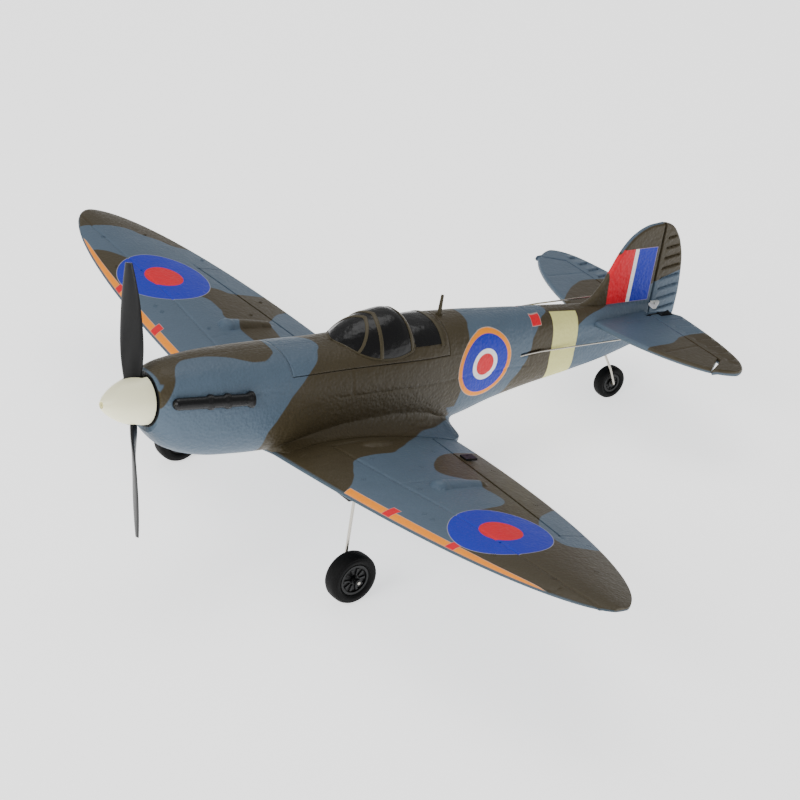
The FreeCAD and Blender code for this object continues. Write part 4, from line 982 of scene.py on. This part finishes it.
STAB_SPAN, STAB_LE, STAB_TE, STAB_TIP = 78.8, 282.5, 336.4, 319.2
STAB_POWERS = (1.63, 2.2)
ELEVATOR_HINGE = 319.0
TAIL_HORN = (61.0, 13.45)             # where the tailplane steps forward for the elevator's horn, and how far
HORN_FROM, HORN_TO, HORN_DEPTH = 62.4, 73.2, 13.8
HORN_RUN = 10.8
ROD_CUT = (6.58, 8.65, 3.2)           # slot for the elevator horn: from, to, depth
STAB_LINES = [[(46.0, 318.0), (47.5, 296.0)], [(12, 299), (12, 316)]]
THIN = 0.03


def stab_edges(x):
    """Y of the tailplane's leading edge and the elevators' trailing edge."""
    k = np.clip(np.abs(x) / STAB_SPAN, 0, 1)
    lead = STAB_TIP - (STAB_TIP - STAB_LE) * superellipse(k, STAB_POWERS[0], STAB_POWERS[0])
    trail = STAB_TIP + (STAB_TE - STAB_TIP) * superellipse(k, STAB_POWERS[1], STAB_POWERS[1])
    return lead, trail


def flat_loop(x, ys, half):
    return np.concatenate([outline(x, ys, STAB_Z + half), outline(x, ys, STAB_Z - half)[::-1]])


def tailplane():
    """Both halves in one, with a slot for the elevator horn and steps for the two aerodynamic horns."""
    rows = []
    columns = 46
    inner, outer = TAIL_HORN[0], 71.6
    xs = np.concatenate([np.linspace(0, 6.55, 8), [6.6], np.linspace(8.6, inner, 70),
                         np.linspace(inner + 0.5, outer, 14)])
    for x in np.concatenate([-xs[:0:-1], xs]):
        lead = float(stab_edges(x)[0])
        end = ELEVATOR_HINGE - GAP
        if abs(x) > inner:
            end = end - (abs(x) - inner) * TAIL_HORN[1] / HORN_RUN
        if ROD_CUT[0] < x < ROD_CUT[1]:
            end = ELEVATOR_HINGE - ROD_CUT[2]
        ys = lead + (end - lead) * np.linspace(0, 1, columns) ** 1.3
        loop = flat_loop(x, ys, np.maximum(rounding(ys - lead, 1.6, STAB_HALF), THIN))
        loop[:columns, 2] -= 0.3 * groove(np.full_like(ys, abs(x)), ys, STAB_LINES)
        rows.append(loop)
    return closed(rows)


def elevator_half():
    """Port elevator, with its horn ahead of the hinge line at the tip."""
    rows = []
    xs = np.concatenate([np.linspace(5.2, 14, 22), np.linspace(14.4, HORN_FROM, 110),
                         np.linspace(HORN_FROM + 0.01, HORN_TO, 24),
                         HORN_TO + 5.5 * np.sin(np.linspace(0, math.pi / 2, 14))[1:]])
    for x in xs:
        shown = x if x < 66 else 66 + (x - 66) * 0.80
        lead, trail = [float(v) for v in stab_edges(x)]
        hinged = x <= HORN_FROM
        if hinged:
            start = ELEVATOR_HINGE + 0.05
        elif x < HORN_TO:
            start = 319.4 - (x - HORN_FROM) * HORN_DEPTH / HORN_RUN
        else:
            start = lead
        end = min(trail, float(np.interp(x, [5.2, 8, 14, 14.4], [327, 332.5, 337, 345])))
        ys = start + (end - start) * np.linspace(0, 1, 40)
        if hinged:
            nose = np.clip((ys - start) / BEVEL + 0.02, 0, 9)
        else:
            nose = rounding(ys - start + 0.05, 1.2, STAB_HALF)
        half = np.minimum(np.minimum(nose, STAB_HALF), rounding(end - ys + 0.02, 1.5, STAB_HALF))
        ribbed = rib_window(ys, 322.5, end - 2.0, 1.0) * rib_window(x, 15, 72, 2)
        half = np.maximum(half, THIN) + ribbed * pleats(-(x - 0.12 * (ys - 322) - 7.4), 8.1, RIB_DEPTH)
        rows.append(flat_loop(shown, ys, half))
    return closed(rows)


tailplane().piece("tailplane_skin", tail_foam, "airframe", ["tailplane"], FOAM)
port_elevator = elevator_half()
port_elevator.piece("elevator_skin_port", tail_foam, "elevator", ["elevator_port"], FOAM)
port_elevator.mirrored().piece("elevator_skin_starboard", tail_foam, "elevator", ["elevator_starboard"],
                               FOAM)


# ---------------------------------------------------------------- canopy
# Bubble stations: place along, half width, base height and crown height.
CANOPY = [(124.0, 4.8, 12.0, 17.4), (127.0, 9.2, 11.0, 19.4), (131.0, 13.2, 10.0, 22.0),
          (136.0, 15.6, 9.0, 24.9), (141.6, 16.9, 8.5, 27.4), (150.0, 17.6, 8.5, 29.8),
          (158.0, 17.5, 8.5, 30.1), (161.0, 17.2, 8.5, 28.9), (164.2, 16.6, 8.5, 25.6)]
CAN_W, CAN_BASE, CAN_TOP = station_curves(CANOPY)
CAN_POWER = 2.2
WINDOW = (162.6, 179.4, 16.6)  # rear glazing: front, rear, height of its lower edge


def canopy_point(y, angle, lift=0.0):
    """Point on the bubble; angle 0 is the port sill, pi the starboard sill."""
    c, s = math.cos(angle), math.sin(angle)
    w, base, top = float(CAN_W(y)) + lift, float(CAN_BASE(y)), float(CAN_TOP(y)) + lift
    x = w * math.copysign(abs(c) ** 0.909, c)
    return x, y, base + (top - base) * abs(s) ** 0.909


def canopy_shell():
    rows = [[canopy_point(y, a) for a in np.linspace(0.1, math.pi - 0.1, 90)]
            for y in np.linspace(CANOPY[0][0], CANOPY[-1][0], 92)]
    front = [(p[0] * 0.02, 123.7, 15.0 + (p[2] - 15.0) * 0.1) for p in rows[0]]
    return Build().grid(np.array([front] + rows))


def rear_window():
    """Black glazing that follows the deck behind the bubble."""
    rows = []
    front, rear, sill_z = WINDOW
    for y in np.concatenate([[front], np.linspace(front + 0.05, rear - 0.05, 24), [rear]]):
        half = hull_arc(y, float(TOP(y)), sill_z, 40)
        lift = 0.35 if front < y < rear else -0.5
        port = [(x * (1 + lift / 16), y, z + lift * z / 24) for x, z in half]
        port.append((port[-1][0] - 1.0, y, port[-1][2] - 0.3))
        rows.append([(-x, y, z) for x, y, z in port[:0:-1]] + port)
    return Build().grid(np.array(rows))


def strip(centre_y, width, lift=0.4, count=110):
    """Raised rib over the bubble; centre_y takes the rank, 0 at the sill and 1 on the crown."""
    rows = []
    for a in np.linspace(0.12, math.pi - 0.12, count):
        y = centre_y(min(a, math.pi - a) / (math.pi / 2))
        loop = []
        for across, up in ((-0.5, -0.9), (-0.47, 0.7), (-0.35, 1.0), (0.35, 1.0), (0.47, 0.7), (0.5, -0.9)):
            loop.append(canopy_point(y + across * width, a, up * lift))
        rows.append(loop)
    return closed(rows)


def height_on_hull(y, x):
    top, _, waist, width = outline_at(y)
    return waist + (top - waist) * superellipse(min(abs(x) / width, 1.0), HULL_POWER, HULL_POWER)


def sill_point(y):
    """Where the bubble meets the deck, by bisection."""
    w, base, top = float(CAN_W(y)), float(CAN_BASE(y)), float(CAN_TOP(y))
    near, far = 0.0, w
    for _ in range(30):
        x = 0.5 * (near + far)
        bubble = base + (top - base) * superellipse(x / w, CAN_POWER, CAN_POWER)
        if bubble > height_on_hull(y, x):
            near = x
        else:
            far = x
    return x, y, height_on_hull(y, x)


def bead(path, radius, squash=0.8):
    """Thin moulding along a path."""
    rows = []
    for x, y, z in path:
        rows.append([(x + radius * math.cos(a), y, z + squash * radius * math.sin(a))
                     for a in np.linspace(0, 2 * math.pi, 9)[:-1]])
    return closed(rows)


def window_frame():
    """Olive rim round the rear glazing."""
    y = WINDOW[1] + 0.5
    half = hull_arc(y, float(TOP(y)), WINDOW[2] - 1.0, 40)
    ring = [(-x, z) for x, z in half[:0:-1]] + [tuple(p) for p in half]
    rows = [[(x * (1 + up / 16), y + along, z + up * z / 24)
             for along, up in ((-1.1, -0.3), (-0.9, 0.55), (0.9, 0.45), (1.3, -0.3))] for x, z in ring]
    return closed(rows)


canopy_shell().join(rear_window()).piece("canopy_bubble", canopy_black, "hatch", ["canopy_glazing"],
                                         "canopy_plastic", sharp=60)
port_sill = [sill_point(y) for y in np.linspace(124.4, 163.6, 90)]
ribs = strip(lambda rank: 126.6 + 17.2 * max(0.0, rank - 0.14) ** 0.62, 1.8)
ribs.join(strip(lambda rank: 143.4 + 3.4 * rank ** 3, 1.9))
ribs.join(strip(lambda rank: 162.2 - 1.8 * rank ** 1.2, 2.6))
ribs.join(window_frame())
ribs.join(bead(port_sill, 0.75))
ribs.join(bead([(-x, y, z) for x, y, z in port_sill], 0.75))
ribs.piece("canopy_frame_ribs", frame_olive, "hatch", slot="olive_foam")


# ---------------------------------------------------------------- wheels
def turned(profile_at, centre, steps):
    """Closed rings of (axial, radius) points about an axis along X; profile_at gives each step's ring."""
    angles = [2 * math.pi * i / steps for i in range(steps)]
    points = np.array([[(centre[0] + u, centre[1] + r * math.cos(a), centre[2] + r * math.sin(a))
                        for u, r in profile_at(i)] for i, a in enumerate(angles)])
    rows, cols = points.shape[:2]
    faces = [(r * cols + c, ((r + 1) % rows) * cols + c,
              ((r + 1) % rows) * cols + (c + 1) % cols, r * cols + (c + 1) % cols)
             for r in range(rows) for c in range(cols)]
    return Build().add(points.reshape(-1, 3), faces)


def tyre(centre, radius, width, rim):
    """Rounded tread between two moulded sidewalls."""
    half, wall = width / 2, radius - rim
    shares = [(0.62, 0.0), (0.80, 0.10), (0.97, 0.28), (1.0, 0.45), (0.985, 0.60), (0.93, 0.66),
              (0.94, 0.74), (0.82, 0.87), (0.60, 0.965), (0.30, 0.99)]  # of half width, of wall height
    side = [(-half * u, rim + v * wall) for u, v in shares]
    profile = side + [(0.0, radius)] + [(-u, r) for u, r in side[::-1]]
    return turned(lambda step: profile, centre, 96)


def hub(centre, width, rim, bore, spokes):
    """Dished disc with a raised rim, a boss and radial spokes, both sides alike."""
    half, per_spoke = width / 2, 12
    radii = np.concatenate([[bore, bore + 1.3, bore + 1.35], np.linspace(bore + 1.7, rim - 1.5, 12),
                            [rim - 1.15, rim - 1.1, rim - 0.4, rim]])

    def height(r, step):
        if r <= bore + 1.3:
            return half * 0.86
        if r >= rim - 1.1:
            return half * 0.80
        on_spoke = bore + 2.0 < r < rim - 1.6 and (step % per_spoke) / per_spoke < 0.34
        return half * (0.72 if on_spoke else 0.56)

    def profile(step):
        face = [(height(r, step), r) for r in radii]
        return face + [(-u, r) for u, r in face[::-1]]
    return turned(profile, centre, spokes * per_spoke)


def wheel(side, body, centre, radius, width, rim, bore, spokes, tyre_node, hub_node):
    tyre(centre, radius, width, rim).piece(f"tyre_{side}", tyre_black, body, [tyre_node], "tyre_rubber")
    hub(centre, width, rim, bore, spokes).piece(f"wheel_hub_{side}", black_nylon, body, [hub_node],
                                               "black_nylon", sharp=30)


for side, centre in (("port", MAIN_WHEEL), ("starboard", (-MAIN_WHEEL[0], MAIN_WHEEL[1], MAIN_WHEEL[2]))):
    wheel(side, f"main_wheel_{side}", centre, MAIN_RADIUS, MAIN_WIDTH, MAIN_RIM, 0.8, 10,
          f"main_tyre_{side}", f"main_hub_{side}")
wheel("tail", "tail_wheel", TAIL_WHEEL, TAIL_RADIUS, TAIL_WIDTH, TAIL_RIM, 0.65, 8, "tail_tyre", "tail_hub")

# ---------------------------------------------------------------- materials of the CAD nodes that stay
KEPT = [
    (spinner_cream, "spinner"), (blade_black, "propeller"), (frame_olive, "antenna_stub"),
    (steel, "prop_nut prop_shaft shaft_bearings gearbox_screws tail_leg elevator_pushrod rudder_pushrod"),
    (black_nylon, "spinner_backplate gearbox_frame elevator_joiner axle_retainers"),
    (white_nylon, "spur_gear rudder_horn elevator_servo_arm rudder_servo_arm"),
    (motor_metal, "pinion motor"), (magnet_metal, "hatch_magnets fuselage_magnets"),
    (battery_blue, "battery"), (board_green, "flight_board"), (carbon, "wing_spar"),
    (exhaust_black, "exhaust_port exhaust_starboard"), (servo_grey, "elevator_servo rudder_servo")]
for side in ("port", "starboard"):
    KEPT += [(steel, f"main_leg_{side} aileron_pushrod_{side}"), (servo_grey, f"aileron_servo_{side}"),
             (black_nylon, f"gear_block_{side} aileron_horn_{side}"),
             (white_nylon, f"aileron_servo_arm_{side}")]
for material, names in KEPT:
    for name in names.split():
        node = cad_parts[name]
        node.data.materials.clear()
        node.data.materials.append(material)


# ---------------------------------------------------------------- floor, light and camera
def stage_floor():
    mesh = bpy.data.meshes.new("studio_floor")
    reach_m = 6.0
    mesh.from_pydata([(-reach_m, -reach_m, 0), (reach_m, -reach_m, 0), (reach_m, reach_m, 0),
                      (-reach_m, reach_m, 0)], [], [(0, 1, 2, 3)])
    material, shader = new_material("studio_white", 0.9)
    where = Expr(add_node("ShaderNodeTexCoord").outputs["Object"])
    tone = noise(where, 3.0) * 0.01 + 0.93
    grey = add_node("ShaderNodeCombineColor", {0: tone, 1: tone, 2: tone})
    feed(shader.inputs["Base Color"], Expr(grey.outputs[0]))
    feed(shader.inputs["Emission Color"], (1, 1, 1, 1))
    feed(shader.inputs["Emission Strength"], 1.3)
    mesh.materials.append(material)
    floor = new_object("studio_floor", mesh)


def soft_light(name, place, aim, size, watts):
    data = bpy.data.lights.new(name, "AREA")
    data.shape = "RECTANGLE"
    data.size, data.size_y = size
    data.energy = watts
    light = new_object(name, data)
    light.location = place
    light.rotation_euler = (Vector(aim) - Vector(place)).to_track_quat("-Z", "Y").to_euler()


stage_floor()
soft_light("key_softbox", (0.25, -1.35, 0.95), (0, -0.02, 0.08), (1.0, 0.8), 15)
soft_light("top_softbox", (-0.5, 0.4, 1.5), (0, 0, 0.05), (1.2, 0.9), 8)

world = bpy.data.worlds.new("studio_world")
world.use_nodes = True
world.node_tree.nodes["Background"].inputs["Color"].default_value = (1, 1, 1, 1)
world.node_tree.nodes["Background"].inputs["Strength"].default_value = 0.5
bpy.context.scene.world = world

AZIMUTH, ELEVATION, ROLL = [math.radians(v) for v in (49.98, 23.98, 10.49)]
SLIDE = (-15.19, 15.29)
AIM = Vector((0, 150, 0))
DISTANCE = 1578.52
FOCAL = 4.1141  # focal length in picture widths
SENSOR_MM = 36.0


def place_camera():
    """The camera that takes the photo's view, aimed in the flight datum."""
    back = Vector((math.sin(AZIMUTH) * math.cos(ELEVATION), -math.cos(AZIMUTH) * math.cos(ELEVATION),
                   math.sin(ELEVATION)))
    right = Vector((math.cos(AZIMUTH), math.sin(AZIMUTH), 0))
    up = back.cross(right)
    right, up = (right * math.cos(ROLL) + up * math.sin(ROLL), up * math.cos(ROLL) - right * math.sin(ROLL))
    centre = AIM + back * DISTANCE - right * SLIDE[0] - up * SLIDE[1]
    data = bpy.data.cameras.new("photo_camera")
    data.sensor_width = SENSOR_MM
    data.lens = FOCAL * SENSOR_MM
    data.clip_start = 0.01
    camera = new_object("photo_camera", data)
    axes = Matrix([stand_direction(right), stand_direction(up), stand_direction(back)]).transposed()
    camera.matrix_world = Matrix.Translation(Vector(stand(np.array(centre)))) @ axes.to_4x4()
    bpy.context.scene.camera = camera


place_camera()
